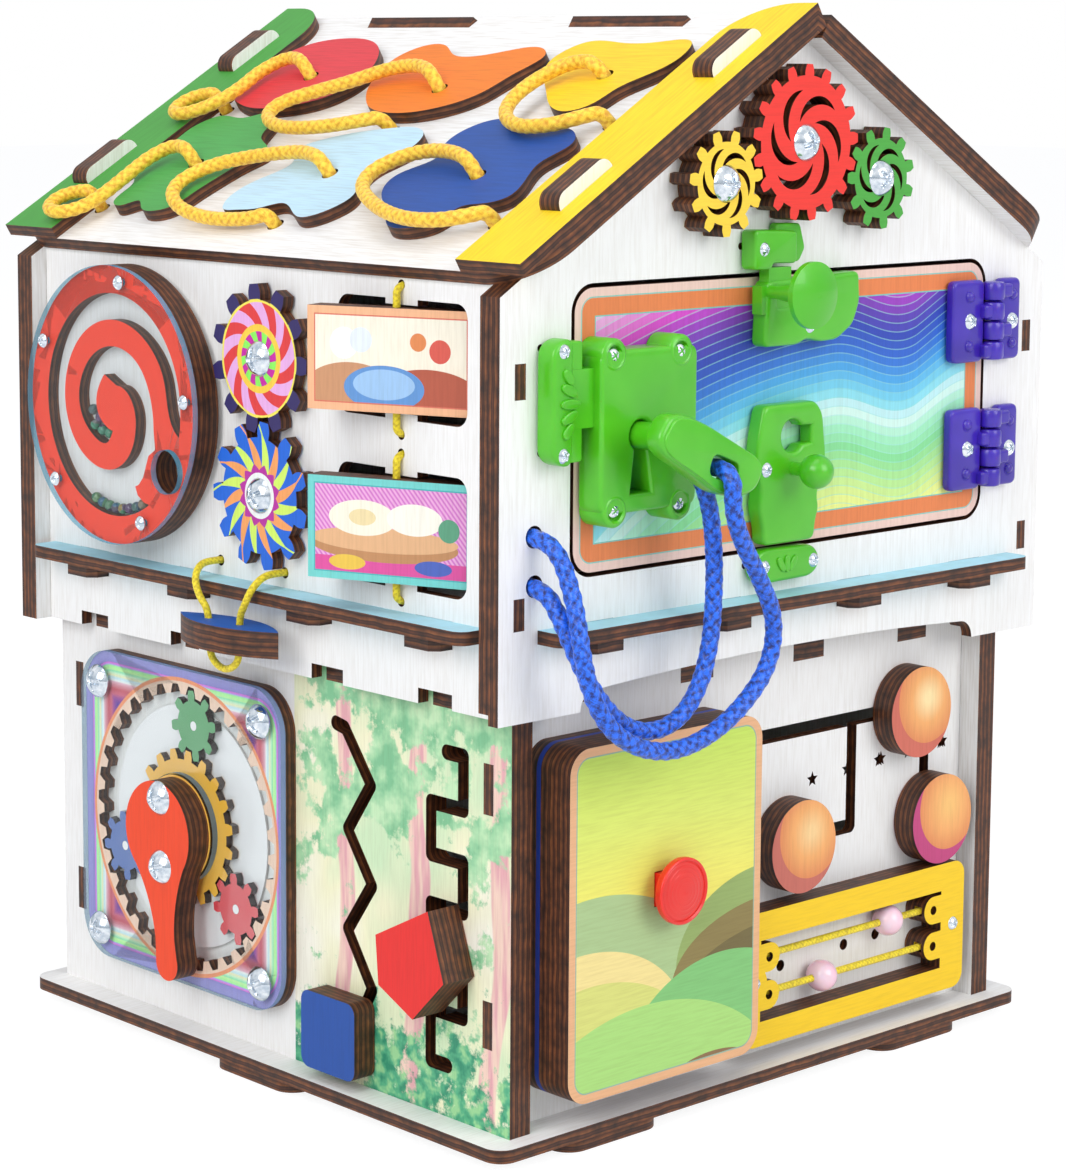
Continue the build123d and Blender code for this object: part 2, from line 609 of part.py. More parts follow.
def lace_route(points):
    """A lace from inside its first hole, over the roof and down into its second hole."""
    first, last = points[0], points[-1]
    return [roof_point(first[0], first[1], lace_start_w)] + [roof_point(*p) for p in points] + [
        roof_point(last[0], last[1], lace_start_w)]


with BuildPart() as lacing_ropes:
    for label, points in laces.items():
        lace_points = lace_route(points)
        route_facts(f"lace {label}", lace_points, lace_w)
        with BuildLine() as lace_line:
            FilletPolyline(*lace_points, radius=bend_radii(lace_points))
        with BuildSketch(Plane(origin=lace_line.line @ 0, z_dir=lace_line.line % 0)):
            Circle(lace_w / 2)
        sweep(path=lace_line.line)
save(lacing_ropes, "lacing_ropes")
print("lace solids", len(lacing_ropes.part.solids()), "volume", round(lacing_ropes.part.volume, 0))


def tooth_points(teeth, pitch_r, play, add_share, ded_share):
    """The corners of an involute tooth at its root, base, pitch and tip circles."""
    module = 2 * pitch_r / teeth
    root = pitch_r - ded_share * module
    tip = pitch_r + add_share * module
    pressure = math.radians(20)
    base = pitch_r * math.cos(pressure)
    at_pitch = math.pi / (2 * teeth) - play / (2 * pitch_r) + math.tan(pressure) - pressure
    low = max(root, base)
    radii = [root - ded_share, low, (low + pitch_r) / 2, pitch_r, tip]
    flank = []
    for r in radii:
        lean = math.acos(base / max(r, base))
        flank.append((r, at_pitch - math.tan(lean) + lean))
    both = [(r, -a) for r, a in flank] + [(r, a) for r, a in reversed(flank)]
    return [(r * math.cos(a), r * math.sin(a)) for r, a in both]


def gear_sketch(teeth, pitch_r, turn, play=backlash, add_share=tooth_add_share,
                ded_share=tooth_ded_share):
    """A toothed outline with one tooth pointing at the angle turn, in degrees."""
    with BuildSketch() as outline:
        Circle(pitch_r - ded_share * 2 * pitch_r / teeth)
        with PolarLocations(0, teeth, start_angle=turn):
            Polygon(*tooth_points(teeth, pitch_r, play, add_share, ded_share), align=None)
    return outline.sketch


def mesh_turn(teeth_a, turn_a, teeth_b, direction):
    """How the teeth of gear b stand so that they fit the gaps of gear a, which it meets there."""
    share_a = teeth_a * (direction - turn_a) / 360
    return direction + 180 - (0.5 - share_a) * 360 / teeth_b


# Gears on the gable: a red one of 17 teeth that drives two of 11, each with six curved slots
red_teeth, small_teeth = 17, 11
red_turn = 87.4         # where a tooth of the red gear points
swirl_turn = 57.0       # where a slot of the red gear starts
swirl_in_share, swirl_out_share = 0.31, 0.71            # its ends, as shares of the pitch radius
swirl_mid_shares = (0.63, 0.49)                         # its outer and inner edges halfway
swirl_sweep = 80.0
swirl_count = 6
red_pitch = gear_centres * red_teeth / (red_teeth + small_teeth)
small_pitch = gear_centres - red_pitch
gear_back = -gable_y - rest_gap
gear_kinds = {
    "gear_red": (red_teeth, red_pitch, red_turn),
    "gear_yellow": (small_teeth, small_pitch,
                    mesh_turn(red_teeth, red_turn, small_teeth, 180 + math.degrees(gear_drop))),
    "gear_green": (small_teeth, small_pitch,
                   mesh_turn(red_teeth, red_turn, small_teeth, -math.degrees(gear_drop))),
}


def swirl_sketch(pitch_r, turn):
    """The curved slots of a gear: each is bounded by two arcs that meet at its ends."""
    with BuildSketch() as slots:
        with BuildLine():
            start = polar(swirl_in_share * pitch_r, turn)
            end = polar(swirl_out_share * pitch_r, turn - swirl_sweep)
            ThreePointArc(start, polar(swirl_mid_shares[0] * pitch_r, turn - swirl_sweep / 2), end)
            ThreePointArc(end, polar(swirl_mid_shares[1] * pitch_r, turn - swirl_sweep / 2), start)
        make_face()
    with BuildSketch() as ring:
        with PolarLocations(0, swirl_count):
            add(slots.sketch)
    return ring.sketch


for (label, (teeth, pitch_r, turn)), axis in zip(gear_kinds.items(), gear_axes):
    with BuildPart() as gear:
        with BuildSketch(at_y(gear_back)):
            with Locations(axis):
                add(gear_sketch(teeth, pitch_r, turn))
                add(swirl_sketch(pitch_r, swirl_turn), mode=Mode.SUBTRACT)
                Circle(screw_r + run_gap, mode=Mode.SUBTRACT)
        extrude(amount=double)
    save(gear, label)

# Cogs on the left wall: two of 11 teeth, one above the other, each one layer thick
cog_teeth = 11
cog_turn = 84.0         # where a tooth of the upper cog points
cog_gap = 0.8           # washer under a cog
cog_pitch = (cog_z1 - cog_z2) / 2
cog_x = -wall_x - cog_gap
for label, z, turn in (("cog_upper", cog_z1, cog_turn),
                       ("cog_lower", cog_z2, mesh_turn(cog_teeth, cog_turn, cog_teeth, -90))):
    with BuildPart() as cog:
        with BuildSketch(at_x(cog_x)):
            with Locations((cog_y, z)):
                add(gear_sketch(cog_teeth, cog_pitch, turn))
                Circle(screw_r + run_gap, mode=Mode.SUBTRACT)
        extrude(amount=-ply)
    save(cog, label)

# Spiral maze: a turning disc of two layers under an acrylic cover, with glass beads between
maze_r = 44.0
maze_ring_share = 0.8           # inner edge of its rim, as a share of its radius
maze_lift = 2.2                 # how far the disc stands off the wall, on the boss of its pin
maze_boss_r = 8.0
maze_cap = 2.0                  # flange of the pin behind the wall, and thickness of the cover
finger_in, finger_angle, finger_r = 9.45, -148.0, 6.9   # finger hole: place in from the rim, turn, radius
arm_outer_shares = ((-13, 0.85), (-4, 0.68), (20, 0.65), (50, 0.63), (90, 0.61), (135, 0.602),
                    (180, 0.587), (215, 0.55), (245, 0.505), (270, 0.465), (300, 0.395), (330, 0.315),
                    (356, 0.262), (395, 0.195), (430, 0.15))    # angle and radius of the arm's edge
arm_inner_shares = ((115, 0.233), (145, 0.205), (175, 0.2), (205, 0.19), (235, 0.182), (270, 0.19))
cup_shares = ((262, 0.25), (252, 0.30), (238, 0.325), (222, 0.345), (205, 0.375), (180, 0.41),
              (135, 0.415), (90, 0.42), (45, 0.44), (10, 0.46), (-14, 0.50))
horn_shares = ((-14, 0.50), (-29, 0.573), (-38, 0.535), (-47.5, 0.57), (-54, 0.605), (-61, 0.625),
               (-65, 0.62), (-65, 0.685), (-61.6, 0.757), (-53.5, 0.86), (-30, 0.85), (-13, 0.85))
bead_glass_r = 1.75     # glass beads
row_share, row_first_angle, row_step_angle, row_count = 0.752, 249.0, 6.3, 8
cluster_shares = ((246, 0.235), (228, 0.27), (208, 0.235), (212, 0.32), (192, 0.30))
maze_screw_in = 4.7     # the screws of the cover: how far in from the rim, and their turns
maze_screw_angles = (99.0, 27.0, 174.0, -42.0, -115.0)
maze_screw_l = 5.0
small_head_r, small_head_h = 2.3, 1.3       # head of a small screw
maze_screw_places = [(maze_y + dy, maze_z + dz)
                     for dy, dz in (polar(maze_r - maze_screw_in, a) for a in maze_screw_angles)]
finger_y, finger_z = (maze_y + polar(maze_r - finger_in, finger_angle)[0],
                      maze_z + polar(maze_r - finger_in, finger_angle)[1])
maze_x0 = -wall_x - maze_lift
maze_x1 = maze_x0 - ply
maze_x2 = maze_x1 - ply


def from_front(radius, angle):
    """A point of the maze, its angle counted from the front edge upwards, as y and z from its centre."""
    return (-radius * math.cos(math.radians(angle)), radius * math.sin(math.radians(angle)))


with BuildSketch() as arm_shape:
    with BuildLine():
        arm_edge = Spline(*[from_front(maze_r * share, a) for a, share in arm_outer_shares])
        tip_edge = Spline(*[from_front(maze_r * share, a) for a, share in arm_inner_shares])
        cup_edge = Spline(*[from_front(maze_r * share, a) for a, share in cup_shares])
        Line(arm_edge @ 1, tip_edge @ 0)
        Line(tip_edge @ 1, cup_edge @ 0)
        Line(cup_edge @ 1, arm_edge @ 0)
    make_face()
    Polygon(*[from_front(maze_r * share, a) for a, share in horn_shares], align=None)

with BuildPart() as maze_disc:
    with BuildSketch(at_x(maze_x0)):
        with Locations((maze_y, maze_z)):
            Circle(maze_r)
        with Locations((finger_y, finger_z)):
            Circle(finger_r, mode=Mode.SUBTRACT)
    extrude(amount=-ply)
    with BuildSketch(at_x(maze_x1)):
        with Locations((maze_y, maze_z)):
            Circle(maze_r)
            Circle(maze_r * maze_ring_share, mode=Mode.SUBTRACT)
            add(arm_shape.sketch)
        with Locations((finger_y, finger_z)):
            Circle(finger_r, mode=Mode.SUBTRACT)
        with Locations(*maze_screw_places):
            Circle(small_r, mode=Mode.SUBTRACT)
    extrude(amount=-ply)
    with BuildSketch(at_x(-wall_x - rest_gap)):
        with Locations((maze_y, maze_z)):
            Circle(maze_boss_r)
    extrude(amount=-maze_lift + rest_gap)
    with BuildSketch(at_x(maze_x0)):
        with Locations((maze_y, maze_z)):
            Circle(maze_pin_r)
    extrude(amount=maze_lift + ply + rest_gap)
    with BuildSketch(at_x(-wall_in + rest_gap)):
        with Locations((maze_y, maze_z)):
            Circle(maze_boss_r)
    extrude(amount=maze_cap)
save(maze_disc, "maze_disc")

with BuildPart() as maze_cover:
    with BuildSketch(at_x(maze_x2)):
        with Locations((maze_y, maze_z)):
            Circle(maze_r)
        with Locations((finger_y, finger_z)):
            Circle(finger_r, mode=Mode.SUBTRACT)
        with Locations(*maze_screw_places):
            Circle(small_r, mode=Mode.SUBTRACT)
    extrude(amount=-maze_cap)
save(maze_cover, "maze_cover")

glass_places = [(row_share, row_first_angle + k * row_step_angle) for k in range(row_count)] + [
    (share, a) for a, share in cluster_shares]
with BuildPart() as maze_beads:
    for share, a in glass_places:
        dy, dz = from_front(maze_r * share, a)
        with Locations(((maze_x1 + maze_x2) / 2, maze_y + dy, maze_z + dz)):
            Sphere(bead_glass_r)
save(maze_beads, "maze_beads")

# Picture blocks: two blocks that turn on an upright cord in front of their openings
block_w, block_h = 54.0, 30.0
block_turn = 21.0       # how far they are turned in the photograph
for label, (z0, z1) in zip(("picture_block_upper", "picture_block_lower"), picture_z):
    with BuildPart() as picture_block:
        mid = (z0 + z1) / 2
        with BuildSketch(Plane(origin=(picture_x, picture_y, mid - block_h / 2), z_dir=(0, 0, 1))):
            Rectangle(double, block_w, rotation=block_turn)
            Circle(cord_r + fit, mode=Mode.SUBTRACT)
        extrude(amount=block_h)
    save(picture_block, label)

# Swing: a lens-shaped plate of two layers that hangs from a yellow cord over the ledge
swing_x = -126.0        # middle of the plate
swing_z0, swing_top = 138.2, 146.2
swing_l, swing_w = 48.0, 15.0
swing_shares = (0.2, -0.11)             # where the cord passes the plate, along its length
swing_mid = -2.6
swing_cord_y = [swing_mid + swing_l * share for share in swing_shares]
with BuildPart() as swing_plate:
    with BuildSketch(at_z(swing_z0)):
        with BuildLine():
            tip_a = (swing_x, swing_mid - swing_l / 2)
            tip_b = (swing_x, swing_mid + swing_l / 2)
            ThreePointArc(tip_a, (swing_x - swing_w / 2, swing_mid), tip_b)
            ThreePointArc(tip_b, (swing_x + swing_w / 2, swing_mid), tip_a)
        make_face()
        with Locations(*[(swing_x, y) for y in swing_cord_y]):
            Circle(cord_r + fit, mode=Mode.SUBTRACT)
    extrude(amount=double)
save(swing_plate, "swing_plate")


def crown(radius, height):
    """How high a crowned face of this radius and height stands halfway out."""
    bulge = (radius ** 2 + height ** 2) / (2 * height)
    return height - bulge + math.sqrt(bulge ** 2 - radius ** 2 / 4)


def dome_screw(head_r, head_h, shank_r, shank_l):
    """A round-headed screw along Z: its head is above the seat at zero, its shank below."""
    with BuildPart() as screw:
        with BuildSketch(Plane.XZ):
            with BuildLine():
                Polyline((0, head_h), (0, -shank_l), (shank_r, -shank_l), (shank_r, 0), (head_r, 0))
                ThreePointArc((head_r, 0), (head_r / 2, crown(head_r, head_h)), (0, head_h))
            make_face()
        revolve(axis=Axis.Z)
    return screw.part


def facing_front(x, y, z):
    """The place of a screw whose head looks to the front."""
    return Plane(origin=(x, y, z), x_dir=(1, 0, 0), z_dir=(0, -1, 0)).location


def facing_left(x, y, z):
    """The place of a screw whose head looks to the left."""
    return Plane(origin=(x, y, z), x_dir=(0, -1, 0), z_dir=(-1, 0, 0)).location


# Swing cord: out of the wall, over the ledge, down through the plate and back up
swing_route = [(-111.4, 16.2, 161.6), (-117.4, 16.3, 161.9), (-122.6, 15.8, 161.4), (-126.2, 14.0, 157.8),
               (-126.8, 11.0, 152.6), (-126.0, 7.0, 148.4), (-126.0, 7.0, 136.0), (-126.0, 4.2, 132.6),
               (-126.0, -0.4, 131.2), (-126.0, -5.0, 132.6), (-126.0, -7.9, 136.0),
               (-126.0, -7.9, 148.4), (-126.8, -11.4, 152.6), (-126.2, -14.0, 157.8),
               (-122.6, -15.2, 161.4), (-117.4, -15.3, 161.9), (-111.4, -15.2, 161.6)]


def tube(points, radius):
    """A cord of round section along straight runs joined by tangent arcs."""
    with BuildPart() as cord:
        with BuildLine() as line:
            FilletPolyline(*points, radius=bend_radii(points))
        with BuildSketch(Plane(origin=line.line @ 0, z_dir=line.line % 0)):
            Circle(radius)
        sweep(path=line.line)
    return cord.part


route_facts("swing cord", swing_route, 2 * cord_r)
with BuildPart() as swing_cord:
    add(tube(swing_route, cord_r))
save(swing_cord, "swing_cord")

# Yellow cords: two upright ones that carry the picture blocks, two level ones that carry the beads
bead_r = 5.0
abacus_y = -end_y - bead_r - rest_gap
abacus_ends = (0.6, 79.6)
abacus_z = (40.8, 28.8)
cord_back_x = -111.0
with BuildPart() as yellow_cords:
    for z_low, z_high in ((cord_holes_z[1], cord_holes_z[0]), (cord_holes_z[3], cord_holes_z[2])):
        picture_route = [(cord_back_x, picture_y, z_high), (picture_x, picture_y, z_high),
                         (picture_x, picture_y, z_low), (cord_back_x, picture_y, z_low)]
        route_facts("picture cord", picture_route, 2 * cord_r)
        add(tube(picture_route, cord_r))
    for z in abacus_z:
        abacus_route = [(abacus_ends[0], -end_y - rest_gap, z), (abacus_ends[0], abacus_y, z),
                        (abacus_ends[1], abacus_y, z), (abacus_ends[1], -end_y - rest_gap, z)]
        route_facts("abacus cord", abacus_route, 2 * cord_r)
        add(tube(abacus_route, cord_r))
save(yellow_cords, "yellow_cords")

# Planet gears behind an acrylic cover: a fixed ring of 35 teeth, a sun of 19 and three planets of 8
sun_teeth, ring_teeth, planet_teeth = 19, 35, 8
orbit = 34.0            # distance of the planets' axes from the sun's
ring_add_share = 0.42   # the ring's teeth are a little shorter
sun_turn = 96.0
planet_turns = (99.0, 219.0, 339.0)     # places of the green, red and blue planets
planet_names = ("planet_green", "planet_red", "planet_blue")
carrier_t = 0.8
carrier_r, carrier_bore = 39.0, 5.0
gear_t = 2.5            # thickness of the acrylic gears
cover_t = 2.0
hub_r = 17.2
hub_gap = 0.4
planet_pin_r = 1.5
crank_r, crank_tip_r, crank_l = 16.5, 5.6, 41.8
crank_lean = -6.3       # degrees that the crank leans in the photograph
crank_screws = ((37.3, 84.0), (36.7, 61.9))
collar_r, collar_t = 6.0, 2.0
sun_pitch = orbit * sun_teeth / (sun_teeth + planet_teeth)
planet_pitch = orbit - sun_pitch
ring_pitch = orbit + planet_pitch
panel_x = -side_x - ply             # front of the ring
carrier_x = -side_x - rest_gap
planet_x = carrier_x - carrier_t - rest_gap
cover_x = panel_x - cover_t
crank_x = cover_x - 2 * rest_gap


def ring_mesh_turn(direction):
    """Where a gap of the ring points, so that a planet at this place fits it as it fits the sun."""
    share_sun = sun_teeth * (direction - sun_turn) / 360
    return direction - (0.5 - share_sun) * 360 / ring_teeth


with BuildPart() as ring_gear_frame:
    with BuildSketch(at_x(-side_x)):
        with Locations((ring_y, ring_z)):
            RectangleRounded(ring_w, ring_h, ring_r)
        with Locations((sun_y, sun_z)):
            add(gear_sketch(ring_teeth, ring_pitch, ring_mesh_turn(planet_turns[0]), -backlash,
                            tooth_ded_share, ring_add_share), mode=Mode.SUBTRACT)
        with Locations(*ring_screws):
            Circle(screw_r, mode=Mode.SUBTRACT)
    extrude(amount=-ply)
save(ring_gear_frame, "ring_gear_frame")

with BuildPart() as gear_cover:
    with BuildSketch(at_x(panel_x)):
        with Locations((ring_y, ring_z)):
            RectangleRounded(ring_w, ring_h, ring_r)
        with Locations((sun_y, sun_z)):
            Circle(hub_r + hub_gap, mode=Mode.SUBTRACT)
        with Locations(*ring_screws):
            Circle(screw_r, mode=Mode.SUBTRACT)
    extrude(amount=-cover_t)
save(gear_cover, "gear_cover")

with BuildPart() as sun_gear:
    with BuildSketch(at_x(planet_x)):
        with Locations((sun_y, sun_z)):
            add(gear_sketch(sun_teeth, sun_pitch, sun_turn))
        with Locations(*crank_screws):
            Circle(screw_r, mode=Mode.SUBTRACT)
    extrude(amount=-gear_t)
    with BuildSketch(at_x(planet_x - gear_t)):
        with Locations((sun_y, sun_z)):
            Circle(hub_r)
        with Locations(*crank_screws):
            Circle(screw_r, mode=Mode.SUBTRACT)
    extrude(amount=crank_x - planet_x + gear_t)
    with BuildSketch(at_x(planet_x)):
        with Locations((sun_y, sun_z)):
            Circle(axle_r)
    extrude(amount=-side_in - planet_x + rest_gap + collar_t)
    with BuildSketch(at_x(-side_in + rest_gap)):
        with Locations((sun_y, sun_z)):
            Circle(collar_r)
    extrude(amount=collar_t)
save(sun_gear, "sun_gear")

with BuildPart() as planet_carrier:
    with BuildSketch(at_x(carrier_x)):
        with Locations((sun_y, sun_z)):
            Circle(carrier_r)
            Circle(carrier_bore, mode=Mode.SUBTRACT)
    extrude(amount=-carrier_t)
    with BuildSketch(at_x(carrier_x - carrier_t)):
        for turn in planet_turns:
            dy, dz = polar(orbit, turn)
            with Locations((sun_y + dy, sun_z + dz)):
                Circle(planet_pin_r)
    extrude(amount=-gear_t - rest_gap)
save(planet_carrier, "planet_carrier")

for label, turn in zip(planet_names, planet_turns):
    dy, dz = polar(orbit, turn)
    with BuildPart() as planet:
        with BuildSketch(at_x(planet_x)):
            with Locations((sun_y + dy, sun_z + dz)):
                add(gear_sketch(planet_teeth, planet_pitch,
                                mesh_turn(sun_teeth, sun_turn, planet_teeth, turn)))
                Circle(planet_pin_r + run_gap, mode=Mode.SUBTRACT)
        extrude(amount=-gear_t)
    save(planet, label)

# Crank: two layers, a round head that narrows to a round-ended handle
neck_shares = ((0.76, 0.65), (0.40, 1.45), (0.30, 2.05))   # half widths and places below the head's centre
with BuildSketch() as crank_shape:
    Circle(crank_r)
    with BuildLine():
        near, mid, far = [(crank_r * w, -crank_r * d) for w, d in neck_shares]
        ThreePointArc(near, mid, far)
        Line(far, (crank_tip_r - fit, -crank_l))
        Line((crank_tip_r - fit, -crank_l), (-crank_tip_r + fit, -crank_l))
        Line((-crank_tip_r + fit, -crank_l), (-far[0], far[1]))
        ThreePointArc((-far[0], far[1]), (-mid[0], mid[1]), (-near[0], near[1]))
        Line((-near[0], near[1]), near)
    make_face()
    with Locations((0, -crank_l)):
        Circle(crank_tip_r)

with BuildPart() as crank:
    with BuildSketch(at_x(crank_x)):
        with Locations(Location((sun_y, sun_z, 0), (0, 0, crank_lean))):
            add(crank_shape.sketch)
        with Locations(*crank_screws):
            Circle(screw_r, mode=Mode.SUBTRACT)
    extrude(amount=-double)
save(crank, "crank")

dome_r, dome_h = 5.5, 3.2
crank_front = crank_x - double
with BuildPart() as crank_screw_pair:
    with Locations(*[facing_left(crank_front, y, z) for y, z in crank_screws]):
        add(dome_screw(dome_r, dome_h, screw_r, planet_x - crank_front - fit))
save(crank_screw_pair, "crank_screws")

# Sliding shapes: a blue square on the zigzag and a red five-sided one on the meander
slide_x = -side_x - rest_gap
stud_r = 2.2
washer_r, washer_t = 5.0, 1.5
blue_y, blue_z = -38.0, 23.6            # middle of the blue shape
blue_w, blue_h, blue_r = 25.0, 24.0, 3.5
red_slide_y, red_slide_z = -79.0, 55.0  # stud of the red shape
red_corners = ((14.1, 6.4), (-8.8, 18.1), (-15.7, -1.9), (-2.3, -15.4), (12.8, -8.4))   # from its stud
red_layers = 3


def stud_and_washer(y, z):
    """The stud that holds a sliding shape in its slot, with the washer behind the wall."""
    with BuildPart() as stud:
        with BuildSketch(at_x(slide_x)):
            with Locations((y, z)):
                Circle(stud_r)
        extrude(amount=double + 2 * rest_gap)
        with BuildSketch(at_x(-side_in + rest_gap)):
            with Locations((y, z)):
                Circle(washer_r)
        extrude(amount=washer_t)
    return stud.part


with BuildPart() as slider_blue:
    with BuildSketch(at_x(slide_x)):
        with Locations((blue_y, blue_z)):
            RectangleRounded(blue_w, blue_h, blue_r)
    extrude(amount=-double)
    add(stud_and_washer(zigzag[-1][0], zigzag[-1][1]))
save(slider_blue, "slider_blue")

with BuildPart() as slider_red:
    with BuildSketch(at_x(slide_x)):
        with Locations((red_slide_y, red_slide_z)):
            Polygon(*red_corners, align=None)
    extrude(amount=-red_layers * ply)
    add(stud_and_washer(red_slide_y, red_slide_z))
save(slider_red, "slider_red")

# Round discs on the front path, each with its stud and washer
for number, place in enumerate(face_places, start=1):
    with BuildPart() as face_disc:
        with BuildSketch(at_y(-end_y - rest_gap)):
            with Locations(place):
                Circle(face_r)
        extrude(amount=double)
        with BuildSketch(at_y(-end_y - rest_gap)):
            with Locations(place):
                Circle(stud_r)
        extrude(amount=-ply - 2 * rest_gap)
        with BuildSketch(at_y(-end_in + rest_gap)):
            with Locations(place):
                Circle(washer_r)
        extrude(amount=-washer_t)
    save(face_disc, f"face_disc_{number}")

# Abacus: a frame of two layers with lobes that hold the cords, and two beads
abacus_x0, abacus_x1, abacus_z0, abacus_z1 = -11.0, 95.0, 13.0, 55.6
abacus_r = 5.0
window_x0, window_x1, window_z0, window_z1 = -3.4, 83.4, 20.8, 46.6
lobe_r = 4.6
ear_r = 5.4
bead_places = ((59.8, abacus_z[0]), (28.1, abacus_z[1]))
with BuildPart() as abacus_frame:
    with BuildSketch(at_y(-end_y)):
        with Locations(((abacus_x0 + abacus_x1) / 2, (abacus_z0 + abacus_z1) / 2)):
            RectangleRounded(abacus_x1 - abacus_x0, abacus_z1 - abacus_z0, abacus_r)
        block(window_x0, window_z0, window_x1, window_z1, mode=Mode.SUBTRACT)
        for x, x_side in zip(abacus_ends, (window_x0, window_x1)):
            for z in abacus_z:
                block(min(x, x_side), z - lobe_r, max(x, x_side), z + lobe_r)
                with Locations((x, z)):
                    Circle(lobe_r)
                    Circle(cord_hole_r, mode=Mode.SUBTRACT)
        with Locations(*abacus_screws):
            Circle(ear_r)
            Circle(small_r, mode=Mode.SUBTRACT)
    extrude(amount=double)
    with BuildSketch(at_y(abacus_y - cord_hole_r)):
        for z in abacus_z:
            block(abacus_ends[0], z - cord_hole_r, abacus_ends[1], z + cord_hole_r)
    extrude(amount=-2 * cord_hole_r, mode=Mode.SUBTRACT)
save(abacus_frame, "abacus_frame")

bore_r = cord_r + fit
bead_flat = math.sqrt(bead_r ** 2 - bore_r ** 2)
for label, (x, z) in zip(("bead_upper", "bead_lower"), bead_places):
    with BuildPart() as bead:
        with BuildSketch(Plane(origin=(x, abacus_y, z), x_dir=(1, 0, 0), z_dir=(0, 0, 1))):
            with BuildLine():
                Line((-bead_flat, bore_r), (bead_flat, bore_r))
                ThreePointArc((bead_flat, bore_r), (0, bead_r), (-bead_flat, bore_r))
            make_face()
        revolve(axis=Axis((x, abacus_y, z), (1, 0, 0)))
    save(bead, label)

# Button box: a back plate, a blue sheet and three layers round the spring of a red button
box_w, box_h, box_r = 80.2, 104.5, 7.5
box_layers = (ply, 2.0, ply, ply, ply)      # back plate, blue sheet, two spacers, printed front
spring_well_r = 9.2
spring_mean_r, spring_wire_r, spring_turns = 7.9, 0.45, 3.5
flange_t = 1.5
stem_hole = stem_w + 2 * rest_gap
button_r, button_t, button_crown = 10.0, 3.4, 1.2
button_travel = 4.0
box_front = -end_y - sum(box_layers)
well_front = box_front + box_layers[-1]
well_back = -end_y - box_layers[0]
button_back = box_front - button_travel - rest_gap
flange_y = well_front + rest_gap

with BuildPart() as button_box:
    depth = -end_y
    for number, thickness in enumerate(box_layers):
        with BuildSketch(at_y(depth)):
            with Locations((box_x, box_z)):
                RectangleRounded(box_w, box_h, box_r)
            with Locations((stem_x, stem_z)):
                if number in (0, len(box_layers) - 1):
                    Rectangle(stem_hole, stem_hole, mode=Mode.SUBTRACT)
                else:
                    Circle(spring_well_r, mode=Mode.SUBTRACT)
        extrude(amount=thickness)
        depth -= thickness
save(button_box, "button_box")

with BuildPart() as red_button:
    with BuildSketch(at_y(flange_y + flange_t)):
        with Locations((stem_x, stem_z)):
            Circle(spring_mean_r + 2 * spring_wire_r)
    extrude(amount=flange_t)
    with BuildSketch(at_y(-end_y + ply)):
        with Locations((stem_x, stem_z)):
            Rectangle(stem_w, stem_w)
    extrude(amount=-button_back - end_y + ply)
    with BuildSketch(Plane(origin=(stem_x, button_back, stem_z), x_dir=(1, 0, 0), z_dir=(0, 0, 1))):
        with BuildLine():
            rim_y = -button_t + button_crown
            Polyline((0, 0), (button_r - button_crown, 0), (button_r, -button_crown), (button_r, rim_y))
            ThreePointArc((button_r, rim_y), (button_r / 2, rim_y - crown(button_r, button_crown)),
                          (0, -button_t))
            Line((0, -button_t), (0, 0))
        make_face()
    revolve(axis=Axis((stem_x, button_back, stem_z), (0, 1, 0)))
save(red_button, "red_button")

spring_l = well_back - flange_y - flange_t - 2 * spring_wire_r - 2 * fit
with BuildPart() as return_spring:
    with BuildLine() as coil:
        Helix(pitch=spring_l / spring_turns, height=spring_l, radius=spring_mean_r,
              center=(stem_x, flange_y + flange_t + spring_wire_r + fit, stem_z), direction=(0, 1, 0))
    with BuildSketch(Plane(origin=coil.line @ 0, z_dir=coil.line % 0)):
        Circle(spring_wire_r)
    sweep(path=coil.line)
save(return_spring, "return_spring")
print("spring gap between turns", round(spring_l / spring_turns - 2 * spring_wire_r, 2))

# Door: two layers, with the screws of everything that is fixed to it
lock_x0, lock_x1, lock_z0, lock_z1 = -97.3, -52.0, 186.0, 237.0
lock_front = 128.0
lock_screws = ((-87.0, 234.0), (-60.7, 234.0), (-86.5, 190.4), (-60.7, 190.6))
top_case_screw, bottom_case_screw = (-3.7, 237.9), (-21.9, 195.3)
leaf_z = ((220.5, 247.5), (179.0, 206.5))       # heights of the two hinges
door_small_screws = [*lock_screws, top_case_screw, bottom_case_screw] + [
    (leaf_screws_x[0], z) for z in hinge_screws_z]
door_screw_l = 6.0

with BuildPart() as door_panel:
    with BuildSketch(at_y(-gable_y)):
        with Locations(((door_x0 + door_x1) / 2, (door_z0 + door_z1) / 2)):
            RectangleRounded(door_x1 - door_x0, door_z1 - door_z0, door_r)
        with Locations(*door_small_screws):
            Circle(small_r, mode=Mode.SUBTRACT)
    extrude(amount=-double)
save(door_panel, "door_panel")

# Hinges: moulded leaves with alternating knuckles; the pin is part of the wall leaf
pivot_x, pivot_y = 90.0, -119.9
knuckle_r, pin_r = 3.4, 1.5
leaf_t, leaf_r = 3.0, 3.0
leaf_door_x, leaf_wall_x = (65.0, 86.3), (93.7, 100.2)
knuckle_count = 4
knuckle_gap = 0.15


